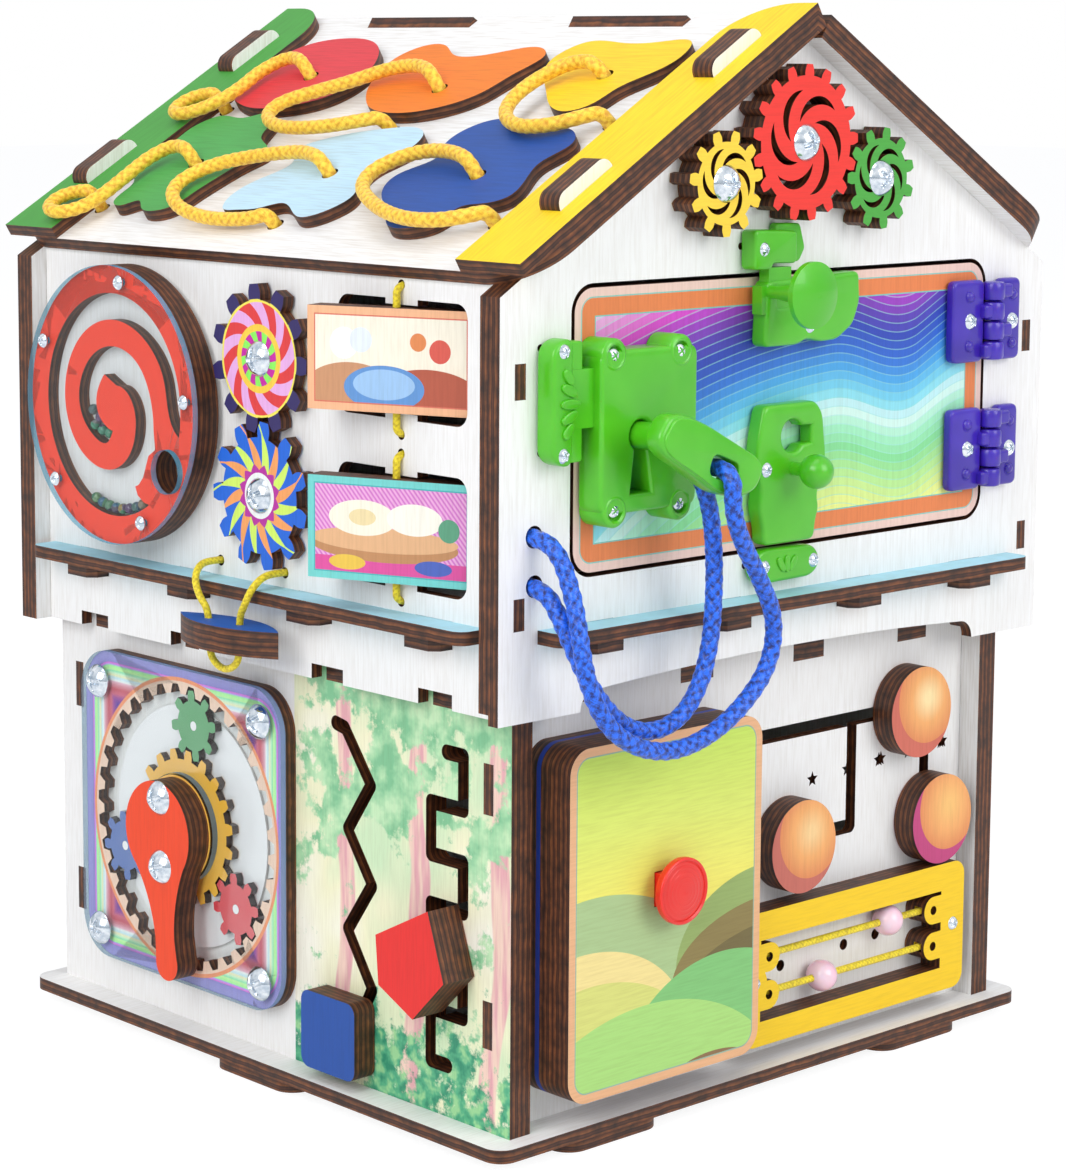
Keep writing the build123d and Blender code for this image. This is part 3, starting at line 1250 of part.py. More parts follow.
def leaf(first, edges, bored):
    """One kind of leaf for both hinges: a plate with knuckles on every second place from first."""
    with BuildPart() as plates:
        for z0, z1 in leaf_z:
            with BuildSketch(at_y(-gable_y)):
                with Locations(((edges[0] + edges[1]) / 2, (z0 + z1) / 2)):
                    Rectangle(edges[1] - edges[0], z1 - z0)
            extrude(amount=leaf_t)
            step = (z1 - z0) / knuckle_count
            for number in range(first, knuckle_count, 2):
                low = z0 + number * step + knuckle_gap
                with BuildSketch(at_z(low)):
                    with Locations((pivot_x, pivot_y)):
                        Circle(knuckle_r)
                    near = edges[1] - over if bored else edges[0] + over
                    block(min(near, pivot_x), pivot_y, max(near, pivot_x), -gable_y - rest_gap)
                    with Locations((pivot_x, pivot_y)):
                        Circle(pin_r + run_gap, mode=Mode.SUBTRACT)
                extrude(amount=step - 2 * knuckle_gap)
            if not bored:
                with BuildSketch(at_z(z0 + knuckle_gap)):
                    with Locations((pivot_x, pivot_y)):
                        Circle(pin_r)
                extrude(amount=z1 - z0 - 2 * knuckle_gap)
                for number in range(first, knuckle_count, 2):
                    with BuildSketch(at_z(z0 + number * step + knuckle_gap)):
                        with Locations((pivot_x, pivot_y)):
                            Circle(knuckle_r)
                    extrude(amount=step - 2 * knuckle_gap)
        corners = plates.edges().filter_by(Axis.Y).filter_by(
            lambda e: abs(e.center().X - (edges[0] if bored else edges[1])) < fit)
        fillet(corners, leaf_r)
        for z in hinge_screws_z:
            with BuildSketch(at_y(-gable_y)):
                with Locations((leaf_screws_x[0 if bored else 1], z)):
                    Circle(small_r)
            extrude(amount=leaf_t, mode=Mode.SUBTRACT)
    return plates.part


with BuildPart() as hinge_leaves_door:
    add(leaf(1, leaf_door_x, True))
save(hinge_leaves_door, "hinge_leaves_door")

with BuildPart() as hinge_leaves_wall:
    add(leaf(0, leaf_wall_x, False))
save(hinge_leaves_wall, "hinge_leaves_wall")

# Lock: a hollow case on the door with a keyhole, its bolt, and the key in it
case_wall = 1.8
lock_r = 5.0
key_x, key_z, key_r = -74.4, 210.6, 2.9
keyhole_foot = 194.0
keyhole_w, keyhole_foot_w = 4.6, 8.4
lock_post_r = 3.2
lock_bolt_x0, lock_bolt_x1, lock_bolt_z0, lock_bolt_z1 = -98.9, -70.0, 213.8, 230.4
lock_bolt_y = (-118.0, -123.0)


def case_walls(width, height, radius, centre, front, wall):
    """A moulded case open at the back: a rounded box on the door's face, hollowed from behind."""
    with BuildPart() as case:
        with BuildSketch(at_y(-gable_y)):
            with Locations(centre):
                RectangleRounded(width, height, radius)
        extrude(amount=front - gable_y)
        with BuildSketch(at_y(-gable_y)):
            with Locations(centre):
                RectangleRounded(width - 2 * wall, height - 2 * wall, radius - wall)
        extrude(amount=front - gable_y - wall, mode=Mode.SUBTRACT)
    return case.part


lock_mid = ((lock_x0 + lock_x1) / 2, (lock_z0 + lock_z1) / 2)
with BuildPart() as lock_case:
    add(case_walls(lock_x1 - lock_x0, lock_z1 - lock_z0, lock_r, lock_mid, lock_front, case_wall))
    with BuildSketch(at_y(-gable_y)):
        with Locations(*lock_screws):
            Circle(lock_post_r)
    extrude(amount=lock_front - gable_y - case_wall)
    with BuildSketch(at_y(-gable_y)):
        with Locations(*lock_screws):
            Circle(small_r)
    extrude(amount=lock_front - gable_y, mode=Mode.SUBTRACT)
    with BuildSketch(at_y(-lock_front)):
        with Locations(*lock_screws):
            Circle(lock_post_r - over / 2)
    extrude(amount=-case_wall, mode=Mode.SUBTRACT)
    with BuildSketch(at_y(-gable_y)):
        with Locations((key_x, key_z)):
            Circle(key_r + rest_gap)
        Polygon((key_x - keyhole_w / 2, key_z), (key_x + keyhole_w / 2, key_z),
                (key_x + keyhole_foot_w / 2, keyhole_foot), (key_x - keyhole_foot_w / 2, keyhole_foot),
                align=None)
    extrude(amount=lock_front - gable_y, mode=Mode.SUBTRACT)
    with BuildSketch(at_x(lock_x0 - over)):
        block(lock_bolt_y[1] - rest_gap, lock_bolt_z0 - rest_gap, lock_bolt_y[0] + rest_gap,
              lock_bolt_z1 + rest_gap)
    extrude(amount=over + case_wall, mode=Mode.SUBTRACT)
save(lock_case, "lock_case")

with BuildPart() as lock_bolt:
    with BuildSketch(at_x(lock_bolt_x0)):
        block(lock_bolt_y[1], lock_bolt_z0, lock_bolt_y[0], lock_bolt_z1)
    extrude(amount=lock_bolt_x1 - lock_bolt_x0)
save(lock_bolt, "lock_bolt")

key_back, key_front, bow_t = -117.0, -138.0, 6.0
bit_y = (-123.5, -125.8)
bit_l, bit_w = 9.0, 4.0
bow_lean = -21.3
bow_l, bow_w = 50.0, 14.0
bow_share = 0.37        # how far along the bow the shaft joins it
bow_drop = 3.3          # how far the middle line of the bow lies under the shaft
loop_w, loop_h, loop_x = 10.8, 8.4, 15.8
with BuildPart() as key:
    with BuildSketch(at_y(key_back)):
        with Locations((key_x, key_z)):
            Circle(key_r)
    extrude(amount=key_back - key_front)
    with BuildSketch(at_y(bit_y[0])):
        with Locations(Location((key_x, key_z, 0), (0, 0, bow_lean))):
            block(0, -bit_w / 2, bit_l, bit_w / 2)
    extrude(amount=bit_y[0] - bit_y[1])
    with BuildSketch(at_y(key_front)):
        with Locations(Location((key_x, key_z, 0), (0, 0, bow_lean))):
            with Locations((bow_l * (0.5 - bow_share / 2) - key_r, -bow_drop)):
                RectangleRounded(bow_l, bow_w, bow_w / 2 - over)
            with Locations((loop_x, -bow_drop)):
                RectangleRounded(loop_w, loop_h, loop_h / 2 - fit, mode=Mode.SUBTRACT)
    extrude(amount=bow_t)
save(key, "key")

# Latches: two moulded cases with sliding bolts, one bolt goes up and one goes down
latch_front = 124.0
latch_wall = 1.6
latch_r = 3.0
latch_bolt_y = (-118.0, -121.8)
top_case = (-28.5, 231.5, 18.7, 253.7)
top_bolt = (-20.6, 241.4, -7.2, 249.8)      # the plate of the top bolt inside its case
top_tip = (-17.7, -8.0, 255.1)              # left, right and top of its tip
top_knob = (-17.0, 248.0)
top_travel = (-8.0, 2.0)
knob_stem_r, knob_r, knob_t = 2.0, 9.8, 3.4
knob_back = -137.6
top_notch = 3.2                             # side notch at the upper end of the slot
bottom_case = (-31.0, 175.5, 4.0, 215.5)
bottom_bolt = (-17.0, 185.4, 0.6, 198.6)
bottom_tip = (-17.0, -5.0, 174.0)
bottom_knob = (-5.6, 194.7)
bottom_travel = (-6.0, 8.0)
ball_r, ball_y = 5.2, -131.0
eye_x, eye_z, eye_r = -14.0, 205.0, 4.2     # round end of the slot
eye_link = 4.4
slot_half = knob_stem_r + rest_gap


def latch_case(corners):
    """The hollow case of a latch, open at the back."""
    x0, z0, x1, z1 = corners
    return case_walls(x1 - x0, z1 - z0, latch_r, ((x0 + x1) / 2, (z0 + z1) / 2), latch_front, latch_wall)


with BuildPart() as latch_cases:
    add(latch_case(top_case))
    add(latch_case(bottom_case))
    with BuildSketch(at_y(-gable_y)):
        with Locations(top_case_screw, bottom_case_screw):
            Circle(lock_post_r)
    extrude(amount=latch_front - gable_y)
    with BuildSketch(at_y(-gable_y)):
        with Locations(top_case_screw, bottom_case_screw):
            Circle(small_r)
        slot_path(((top_knob[0], top_knob[1] + top_travel[0]), (top_knob[0], top_knob[1] + top_travel[1])),
                  2 * slot_half, mode=Mode.ADD)
        slot_path((top_knob, (top_knob[0] - top_notch, top_knob[1])), 2 * slot_half, mode=Mode.ADD)
        slot_path(((bottom_knob[0], bottom_knob[1] - bottom_travel[1]),
                   (bottom_knob[0], bottom_knob[1] - bottom_travel[0])), 2 * slot_half, mode=Mode.ADD)
        slot_path(((bottom_knob[0], eye_z), (eye_x, eye_z)), eye_link, mode=Mode.ADD)
        with Locations((eye_x, eye_z)):
            Circle(eye_r)
    extrude(amount=latch_front - gable_y, mode=Mode.SUBTRACT)
    with BuildSketch(at_z(top_case[3] - latch_wall - over)):
        block(top_tip[0] - rest_gap, latch_bolt_y[1] - rest_gap, top_tip[1] + rest_gap,
              latch_bolt_y[0] + rest_gap)
    extrude(amount=latch_wall + 2 * over, mode=Mode.SUBTRACT)
    with BuildSketch(at_z(bottom_case[1] - over)):
        block(bottom_tip[0] - rest_gap, latch_bolt_y[1] - rest_gap, bottom_tip[1] + rest_gap,
              latch_bolt_y[0] + rest_gap)
    extrude(amount=latch_wall + 2 * over, mode=Mode.SUBTRACT)
save(latch_cases, "latch_cases")

with BuildPart() as top_latch_bolt:
    with BuildSketch(at_y(latch_bolt_y[0])):
        block(*top_bolt)
        block(top_tip[0], top_bolt[3] - over, top_tip[1], top_tip[2])
    extrude(amount=latch_bolt_y[0] - latch_bolt_y[1])
    with BuildSketch(Plane(origin=(top_knob[0], 0, top_knob[1]), x_dir=(1, 0, 0), z_dir=(0, 0, 1))):
        with BuildLine():
            Polyline((0, latch_bolt_y[1]), (knob_stem_r, latch_bolt_y[1]), (knob_stem_r, -latch_front - over),
                     (2 * knob_stem_r, knob_back), (knob_r, knob_back), (knob_r, knob_back - knob_t / 2))
            rim_y = knob_back - knob_t / 2
            ThreePointArc((knob_r, rim_y), (knob_r / 2, rim_y - crown(knob_r, knob_t / 2)),
                          (0, knob_back - knob_t))
            Line((0, knob_back - knob_t), (0, latch_bolt_y[1]))
        make_face()
    revolve(axis=Axis((top_knob[0], 0, top_knob[1]), (0, 1, 0)))
save(top_latch_bolt, "top_latch_bolt")

with BuildPart() as bottom_latch_bolt:
    with BuildSketch(at_y(latch_bolt_y[0])):
        block(*bottom_bolt)
        block(bottom_tip[0], bottom_tip[2], bottom_tip[1], bottom_bolt[1] + over)
    extrude(amount=latch_bolt_y[0] - latch_bolt_y[1])
    neck = ball_y + math.sqrt(ball_r ** 2 - knob_stem_r ** 2)
    with BuildSketch(Plane(origin=(bottom_knob[0], 0, bottom_knob[1]), x_dir=(1, 0, 0), z_dir=(0, 0, 1))):
        with BuildLine():
            Polyline((0, latch_bolt_y[1]), (knob_stem_r, latch_bolt_y[1]), (knob_stem_r, neck))
            ThreePointArc((knob_stem_r, neck), (ball_r, ball_y), (0, ball_y - ball_r))
            Line((0, ball_y - ball_r), (0, latch_bolt_y[1]))
        make_face()
    revolve(axis=Axis((bottom_knob[0], 0, bottom_knob[1]), (0, 1, 0)))
save(bottom_latch_bolt, "bottom_latch_bolt")

# Keepers: the lock's on the left, the latches' above and below the door
lock_keeper = (-114.5, 203.0, -99.3, 240.5)
top_keeper = (-31.0, 255.5, -6.5, 265.2)
bottom_keeper = (-26.0, 160.0, 5.0, 173.6)
keeper_clear = 0.8      # play of a bolt in its keeper
keeper_depth = 10.0
with BuildPart() as keepers:
    for corners, front in ((lock_keeper, lock_front), (top_keeper, latch_front),
                           (bottom_keeper, latch_front)):
        with BuildSketch(at_y(-gable_y)):
            with Locations(((corners[0] + corners[2]) / 2, (corners[1] + corners[3]) / 2)):
                RectangleRounded(corners[2] - corners[0], corners[3] - corners[1], latch_r)
        extrude(amount=front - gable_y)
    with BuildSketch(at_y(-gable_y)):
        with Locations(*lock_keeper_screws, top_keeper_screw, *bottom_keeper_screws):
            Circle(small_r)
    extrude(amount=lock_front - gable_y, mode=Mode.SUBTRACT)
    with BuildSketch(at_x(lock_keeper[2] + over)):
        block(lock_bolt_y[1] - keeper_clear, lock_bolt_z0 - keeper_clear,
              lock_bolt_y[0] + keeper_clear, lock_bolt_z1 + keeper_clear)
    extrude(amount=-over - keeper_depth, mode=Mode.SUBTRACT)
    with BuildSketch(at_z(top_keeper[1] - over)):
        block(top_tip[0] - rest_gap, latch_bolt_y[1] - keeper_clear, top_tip[1] + rest_gap,
              latch_bolt_y[0] + keeper_clear)
    extrude(amount=over + top_travel[1] + keeper_clear, mode=Mode.SUBTRACT)
    with BuildSketch(at_z(bottom_keeper[3] + over)):
        block(bottom_tip[0] - rest_gap, latch_bolt_y[1] - keeper_clear, bottom_tip[1] + rest_gap,
              latch_bolt_y[0] + keeper_clear)
    extrude(amount=-over - bottom_travel[1] - keeper_clear, mode=Mode.SUBTRACT)
save(keepers, "keepers")

# Screws: domed ones on the walls, small ones in the keepers, hinges, abacus and the door
gear_front = gear_back - double
cog_front = cog_x - ply
with BuildPart() as screws:
    with Locations(*[facing_front(x, gear_front - fit, z) for x, z in gear_axes]):
        add(dome_screw(dome_r, dome_h, screw_r, -gable_in - gear_front + fit))
    with Locations(*[facing_left(cog_front - fit, cog_y, z) for z in (cog_z1, cog_z2)]):
        add(dome_screw(dome_r, dome_h, screw_r, -wall_in - cog_front + fit))
    with Locations(*[facing_left(cover_x, y, z) for y, z in ring_screws]):
        add(dome_screw(dome_r, dome_h, screw_r, -side_in - cover_x))
    with Locations(*[facing_front(x, -end_y - double, z) for x, z in abacus_screws]):
        add(dome_screw(small_head_r, small_head_h, small_r, double + ply))
    with Locations(*[facing_front(leaf_screws_x[1], -gable_y - leaf_t, z) for z in hinge_screws_z]):
        add(dome_screw(small_head_r, small_head_h, small_r, leaf_t + door_screw_l))
    with Locations(*[facing_front(x, -lock_front, z) for x, z in lock_keeper_screws]):
        add(dome_screw(small_head_r, small_head_h, small_r, lock_front - gable_y + door_screw_l))
    with Locations(*[facing_front(x, -latch_front, z)
                     for x, z in (top_keeper_screw, *bottom_keeper_screws)]):
        add(dome_screw(small_head_r, small_head_h, small_r, latch_front - gable_y + door_screw_l))
save(screws, "screws")

lock_seat = lock_front - case_wall
with BuildPart() as door_screws:
    with Locations(*[facing_front(x, -lock_seat, z) for x, z in lock_screws]):
        add(dome_screw(small_head_r, small_head_h, small_r, lock_seat - gable_y + door_screw_l))
    with Locations(*[facing_front(x, -latch_front, z) for x, z in (top_case_screw, bottom_case_screw)]):
        add(dome_screw(small_head_r, small_head_h, small_r, latch_front - gable_y + door_screw_l))
    with Locations(*[facing_front(leaf_screws_x[0], -gable_y - leaf_t, z) for z in hinge_screws_z]):
        add(dome_screw(small_head_r, small_head_h, small_r, leaf_t + door_screw_l))
save(door_screws, "door_screws")

with BuildPart() as maze_screws:
    with Locations(*[facing_left(maze_x2 - maze_cap, y, z) for y, z in maze_screw_places]):
        add(dome_screw(small_head_r, small_head_h, small_r, maze_screw_l))
save(maze_screws, "maze_screws")

# Blue rope: both ends leave holes in the gable, and its loop hangs through the bow of the key
rope_route = [(-106.6, -110.0, 183.6), (-106.6, -120.2, 183.6), (-105.6, -125.6, 179.0),
              (-105.2, -128.6, 172.6), (-106.0, -132.6, 164.4), (-107.2, -136.0, 154.0),
              (-105.4, -138.0, 141.6), (-98.2, -139.0, 130.6), (-86.4, -139.4, 123.8),
              (-72.6, -139.4, 121.4), (-58.4, -139.4, 124.2), (-45.6, -139.4, 130.6),
              (-34.4, -139.6, 141.0), (-33.0, -140.6, 155.0), (-42.6, -142.6, 168.6),
              (-53.6, -145.6, 180.4), (-60.0, -147.9, 190.0), (-60.6, -148.6, 201.8),
              (-60.4, -133.6, 201.8), (-54.4, -133.6, 190.6), (-52.4, -133.8, 178.2),
              (-52.2, -134.0, 164.0), (-53.4, -134.0, 149.6), (-57.8, -134.0, 137.0),
              (-66.0, -134.0, 128.8), (-77.6, -134.0, 126.4), (-89.6, -134.0, 130.6),
              (-99.2, -133.4, 140.2), (-105.0, -131.8, 151.6), (-107.0, -127.4, 162.0),
              (-106.4, -120.2, 169.6), (-106.4, -110.0, 169.6)]
route_facts("blue rope", rope_route, 2 * rope_r)
with BuildPart() as blue_rope:
    add(tube(rope_route, rope_r))
save(blue_rope, "blue_rope")
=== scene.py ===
import math
from functools import partial

import bmesh
import bpy
import numpy as np
from mathutils import Matrix, Vector


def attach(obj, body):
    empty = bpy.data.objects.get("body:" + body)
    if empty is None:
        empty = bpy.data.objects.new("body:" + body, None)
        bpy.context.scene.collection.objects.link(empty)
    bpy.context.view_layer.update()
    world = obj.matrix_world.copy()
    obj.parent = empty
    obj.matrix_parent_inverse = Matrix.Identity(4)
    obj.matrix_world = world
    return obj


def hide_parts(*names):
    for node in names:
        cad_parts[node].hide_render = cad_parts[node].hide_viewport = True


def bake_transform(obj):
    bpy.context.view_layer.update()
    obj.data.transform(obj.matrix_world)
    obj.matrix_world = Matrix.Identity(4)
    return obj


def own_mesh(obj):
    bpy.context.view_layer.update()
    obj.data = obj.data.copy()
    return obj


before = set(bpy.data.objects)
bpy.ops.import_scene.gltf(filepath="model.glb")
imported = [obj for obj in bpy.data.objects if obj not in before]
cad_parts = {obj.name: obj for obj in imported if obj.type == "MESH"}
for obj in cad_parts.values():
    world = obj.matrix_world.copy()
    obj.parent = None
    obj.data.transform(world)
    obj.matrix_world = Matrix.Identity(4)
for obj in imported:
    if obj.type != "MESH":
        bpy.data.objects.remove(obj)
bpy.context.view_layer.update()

scene = bpy.context.scene
mm = 0.001

# Camera: it stands in front of the house's left front corner, a little above the eaves, and looks
# slightly down. Its place, direction and lens come from the edges of the walls in the photograph.
eye = Vector((-698.0, -739.2, 317.6)) * mm
ahead = Vector((0.6701, 0.7309, -0.1293)).normalized()
roll = math.radians(0.253)
picture_w, picture_h, focal_px = 1066, 1170, 3121
axis_px = (481.1, 458.6)        # where the lens axis meets the picture
level = ahead.cross(Vector((0, 0, 1))).normalized()
upright = level.cross(ahead)
right = level * math.cos(roll) + upright * math.sin(roll)
lens = bpy.data.cameras.new("camera")
lens.sensor_width = 36.0
lens.lens = 36.0 * focal_px / picture_h
lens.shift_x = (picture_w / 2 - axis_px[0]) / picture_h
lens.shift_y = (axis_px[1] - picture_h / 2) / picture_h
lens.clip_start, lens.clip_end = 0.05, 60.0
camera = bpy.data.objects.new("camera", lens)
camera.matrix_world = Matrix.Translation(eye) @ Matrix(
    (right, right.cross(ahead), -ahead)).transposed().to_4x4()
scene.collection.objects.link(camera)
scene.camera = camera


def linear(colour):
    """Linear colour of an sRGB hex value: c / 12.92 below 0.04045, else ((c + 0.055) / 1.055) ^ 2.4."""
    channels = [int(colour[k:k + 2], 16) / 255 for k in (1, 3, 5)]
    return [c / 12.92 if c <= 0.04045 else ((c + 0.055) / 1.055) ** 2.4 for c in channels] + [1.0]


def add_node(tree, kind, *inputs, stops=None, take=None, **settings):
    """Add a shader node (its operation after a dot) with its settings and inputs (in order, or by name in
    a dict). A socket is linked, a number or hex colour is set; stops fill a colour ramp. Returns the
    outputs named in take, or else the first one in use."""
    kind, _, operation = kind.partition(".")
    made = tree.nodes.new("ShaderNode" + kind)
    if operation:
        made.operation = operation
    for name, value in settings.items():
        setattr(made, name, value)
    pairs = []
    for place, value in enumerate(inputs):
        pairs += value.items() if isinstance(value, dict) else [(place, value)]
    for place, value in pairs:
        if isinstance(value, bpy.types.NodeSocket):
            tree.links.new(value, made.inputs[place])
        else:
            made.inputs[place].default_value = linear(value) if isinstance(value, str) else value
    for place, (at, colour) in enumerate(stops or ()):
        if place >= len(made.color_ramp.elements):
            made.color_ramp.elements.new(at)
        made.color_ramp.elements[place].position = at
        made.color_ramp.elements[place].color = linear(colour)
    if take:
        return [made.outputs[name] for name in take]
    return next((socket for socket in made.outputs if socket.enabled), None)


# Studio: a white floor and a white background, with two large soft lamps, one for each visible side.
# The floor keeps a faint shadow under the feet.
floor_half = 8.0
floor_mesh = bpy.data.meshes.new("floor")
floor_mesh.from_pydata([(-floor_half, -floor_half, 0), (floor_half, -floor_half, 0),
                        (floor_half, floor_half, 0), (-floor_half, floor_half, 0)], [], [(0, 1, 2, 3)])
floor = bpy.data.objects.new("floor", floor_mesh)
scene.collection.objects.link(floor)
floor_paper = bpy.data.materials.new("white_paper_roll")
floor_paper.use_nodes = True
floor_paper.node_tree.nodes.clear()
add = partial(add_node, floor_paper.node_tree)
rays = ("Is Camera Ray", "Is Transmission Ray", "Is Glossy Ray")
camera_ray, through_ray, glossy_ray = add("LightPath", take=rays)
seen = add("Math.MAXIMUM", add("Math.MAXIMUM", camera_ray, through_ray), glossy_ray)
lifted = add("AddShader", add("BsdfDiffuse", "#8c8c8c"), add("Emission", "#ffffff", 0.84))
add("OutputMaterial", add("MixShader", seen, add("BsdfDiffuse", "#e4e4e4"), lifted))
floor_mesh.materials.append(floor_paper)

studio = bpy.data.worlds.new("studio")
scene.world = studio
studio.use_nodes = True
studio.node_tree.nodes.clear()
add = partial(add_node, studio.node_tree)
camera_ray, through_ray, glossy_ray = add("LightPath", take=rays)
seen = add("Math.MAXIMUM", add("Math.MAXIMUM", camera_ray, through_ray), glossy_ray)
height, = add("SeparateXYZ", *add("TexCoord", take=["Generated"]), take="Z")
tent = add("ValToRGB", height, stops=((0.0, "#8f9aa6"), (0.10, "#c9d2da"), (0.45, "#ffffff")))
shown = add("MixRGB", glossy_ray, "#ffffff", tent)
glow = add("Background", "#f4f7ff", 0.60)
add("OutputWorld", add("MixShader", seen, glow, add("Background", shown, 1.0)))

scene.view_settings.view_transform = "Standard"
house_middle = Vector((0.0, 0.0, 0.17))
for name, place, size, power in (("lamp_left", (-1.9, -0.5, 1.25), 1.3, 23.0),
                                 ("lamp_front", (0.35, -2.0, 1.15), 1.3, 20.0),
                                 ("lamp_top", (-0.5, -0.3, 2.3), 1.0, 9.0)):
    lamp = bpy.data.lights.new(name, "AREA")
    lamp.shape = "SQUARE"
    lamp.size = size
    lamp.energy = power
    holder = bpy.data.objects.new(name, lamp)
    holder.location = place
    holder.rotation_euler = (house_middle - Vector(place)).to_track_quat("-Z", "Y").to_euler()
    scene.collection.objects.link(holder)


# Blue rope: a braided polypropylene cord, 5.3 mm thick. Both its ends go into holes in the gable, are
# knotted behind it, and its loop hangs through the bow of the key.
rope_route = [(-106.6, -110.0, 183.6), (-106.6, -120.2, 183.6), (-105.6, -125.6, 179.0),
              (-105.2, -128.6, 172.6), (-106.0, -132.6, 164.4), (-107.2, -136.0, 154.0),
              (-105.4, -138.0, 141.6), (-98.2, -139.0, 130.6), (-86.4, -139.4, 123.8),
              (-72.6, -139.4, 121.4), (-58.4, -139.4, 124.2), (-45.6, -139.4, 130.6),
              (-34.4, -139.6, 141.0), (-33.0, -140.6, 155.0), (-42.6, -142.6, 168.6),
              (-53.6, -145.6, 180.4), (-60.0, -147.9, 190.0), (-60.6, -148.6, 201.8),
              (-60.4, -133.6, 201.8), (-54.4, -133.6, 190.6), (-52.4, -133.8, 178.2),
              (-52.2, -134.0, 164.0), (-53.4, -134.0, 149.6), (-57.8, -134.0, 137.0),
              (-66.0, -134.0, 128.8), (-77.6, -134.0, 126.4), (-89.6, -134.0, 130.6),
              (-99.2, -133.4, 140.2), (-105.0, -131.8, 151.6), (-107.0, -127.4, 162.0),
              (-106.4, -120.2, 169.6), (-106.4, -110.0, 169.6)]


def follow(route):
    """The cord's own line: a NURBS spline of order 3 with the route's points as its control points."""
    curve = bpy.data.curves.new("line", "CURVE")
    curve.dimensions = "3D"
    spline = curve.splines.new("NURBS")
    spline.points.add(len(route) - 1)
    points = np.ones((len(route), 4))
    points[:, :3] = np.array(route) * mm
    spline.points.foreach_set("co", points.ravel())
    spline.order_u = 3
    spline.use_endpoint_u = True
    spline.resolution_u = 32
    holder = bpy.data.objects.new("line", curve)
    scene.collection.objects.link(holder)
    mesh = bpy.data.meshes.new_from_object(holder)
    line = np.empty(len(mesh.vertices) * 3)
    mesh.vertices.foreach_get("co", line)
    bpy.data.objects.remove(holder)
    bpy.data.meshes.remove(mesh)
    bpy.data.curves.remove(curve)
    return line.reshape(-1, 3)


def skin(name, points, closed=True, poles=True, smooth=True, **values):
    """A mesh over a grid of points, rows along and columns round; closed joins the last column to the
    first, poles put a point in the middle of the first and last row. values are kept on its points."""
    rows, columns = points.shape[:2]
    ids = np.arange(rows * columns).reshape(rows, columns)
    here, after = (ids, np.roll(ids, -1, axis=1)) if closed else (ids[:, :-1], ids[:, 1:])
    faces = np.stack([here[:-1], after[:-1], after[1:], here[1:]], axis=-1).reshape(-1, 4).tolist()
    corners = points.reshape(-1, 3)
    if poles:
        first, last = rows * columns, rows * columns + 1
        faces += np.stack([np.full_like(here[0], first), after[0], here[0]], axis=-1).tolist()
        faces += np.stack([np.full_like(here[0], last), here[-1], after[-1]], axis=-1).tolist()
        corners = np.concatenate([corners, [points[0].mean(axis=0), points[-1].mean(axis=0)]])
    mesh = bpy.data.meshes.new(name)
    mesh.from_pydata(corners.tolist(), [], faces)
    for label, value in values.items():
        attribute = mesh.attributes.new(label, "FLOAT", "POINT")
        flat = np.zeros(len(corners), np.float32)
        flat[:rows * columns] = value.ravel()
        attribute.data.foreach_set("value", flat)
    if smooth:
        mesh.shade_smooth()
    piece = bpy.data.objects.new(name, mesh)
    scene.collection.objects.link(piece)
    return piece


def spaced_line(route, step):
    """Points of a cord's line at even steps, with its direction and two normals carried along untwisted."""
    line = follow(route)
    gone = np.concatenate([[0], np.cumsum(np.linalg.norm(np.diff(line, axis=0), axis=1))])
    at = np.linspace(0, gone[-1], int(gone[-1] / step) + 1)
    line = np.stack([np.interp(at, gone, line[:, k]) for k in range(3)], axis=1)
    ahead = np.gradient(line, axis=0)
    ahead /= np.linalg.norm(ahead, axis=1)[:, None]
    side = np.empty_like(line)
    turned = np.cross(ahead[0], np.eye(3)[np.argmin(np.abs(ahead[0]))])
    for k, way in enumerate(ahead):
        turned = turned - way * (turned @ way)
        turned = turned / np.linalg.norm(turned)
        side[k] = turned
    return line, at, side, np.cross(ahead, side)


def braided(name, route, thick, lay_share, relief, round_count=48, step_share=0.075):
    """A braid of four strands that turn left and four that turn right, over and under each other.
    Strand number and place across it are 4 (angle / turn +- way / lay); a strand's height is the root of
    1 - (2 across)^2, plus a third of the cosine of the other family's count; the radius takes the higher."""
    line, at, side, other = spaced_line(route, thick * step_share)
    angle = np.linspace(0, 2 * np.pi, round_count, endpoint=False)
    way, turn = np.meshgrid(at / (thick * lay_share), angle / (2 * np.pi), indexing="ij")
    left, right = 4 * (turn + way), 4 * (turn - way)
    across_left, across_right = left % 1 - 0.5, right % 1 - 0.5
    weave_left = 0.35 * np.cos(np.pi * (right - 0.5 + np.floor(left)))
    weave_right = 0.35 * np.cos(np.pi * (left - 0.5 + np.floor(right)))
    high_left = np.sqrt(1 - (1.9 * across_left) ** 2) + weave_left
    high_right = np.sqrt(1 - (1.9 * across_right) ** 2) - weave_right
    high = np.clip(np.maximum(high_left, high_right) / 1.35, 0, 1)
    radius = thick / 2 * (1 - relief + relief * high)
    points = line[:, None] + radius[..., None] * (
        np.cos(angle)[None, :, None] * side[:, None] + np.sin(angle)[None, :, None] * other[:, None])
    across = np.where(high_left > high_right, across_left, across_right)
    return skin(name, points, height=high, across=across), line


def fresh(name, **values):
    """A new material and add_node for its tree; values are set on the shader's sockets of those names."""
    material = bpy.data.materials.new(name)
    material.use_nodes = True
    shader = material.node_tree.nodes["Principled BSDF"]
    for socket, value in values.items():
        shader.inputs[socket.replace("_", " ")].default_value = value
    return material, partial(add_node, material.node_tree)


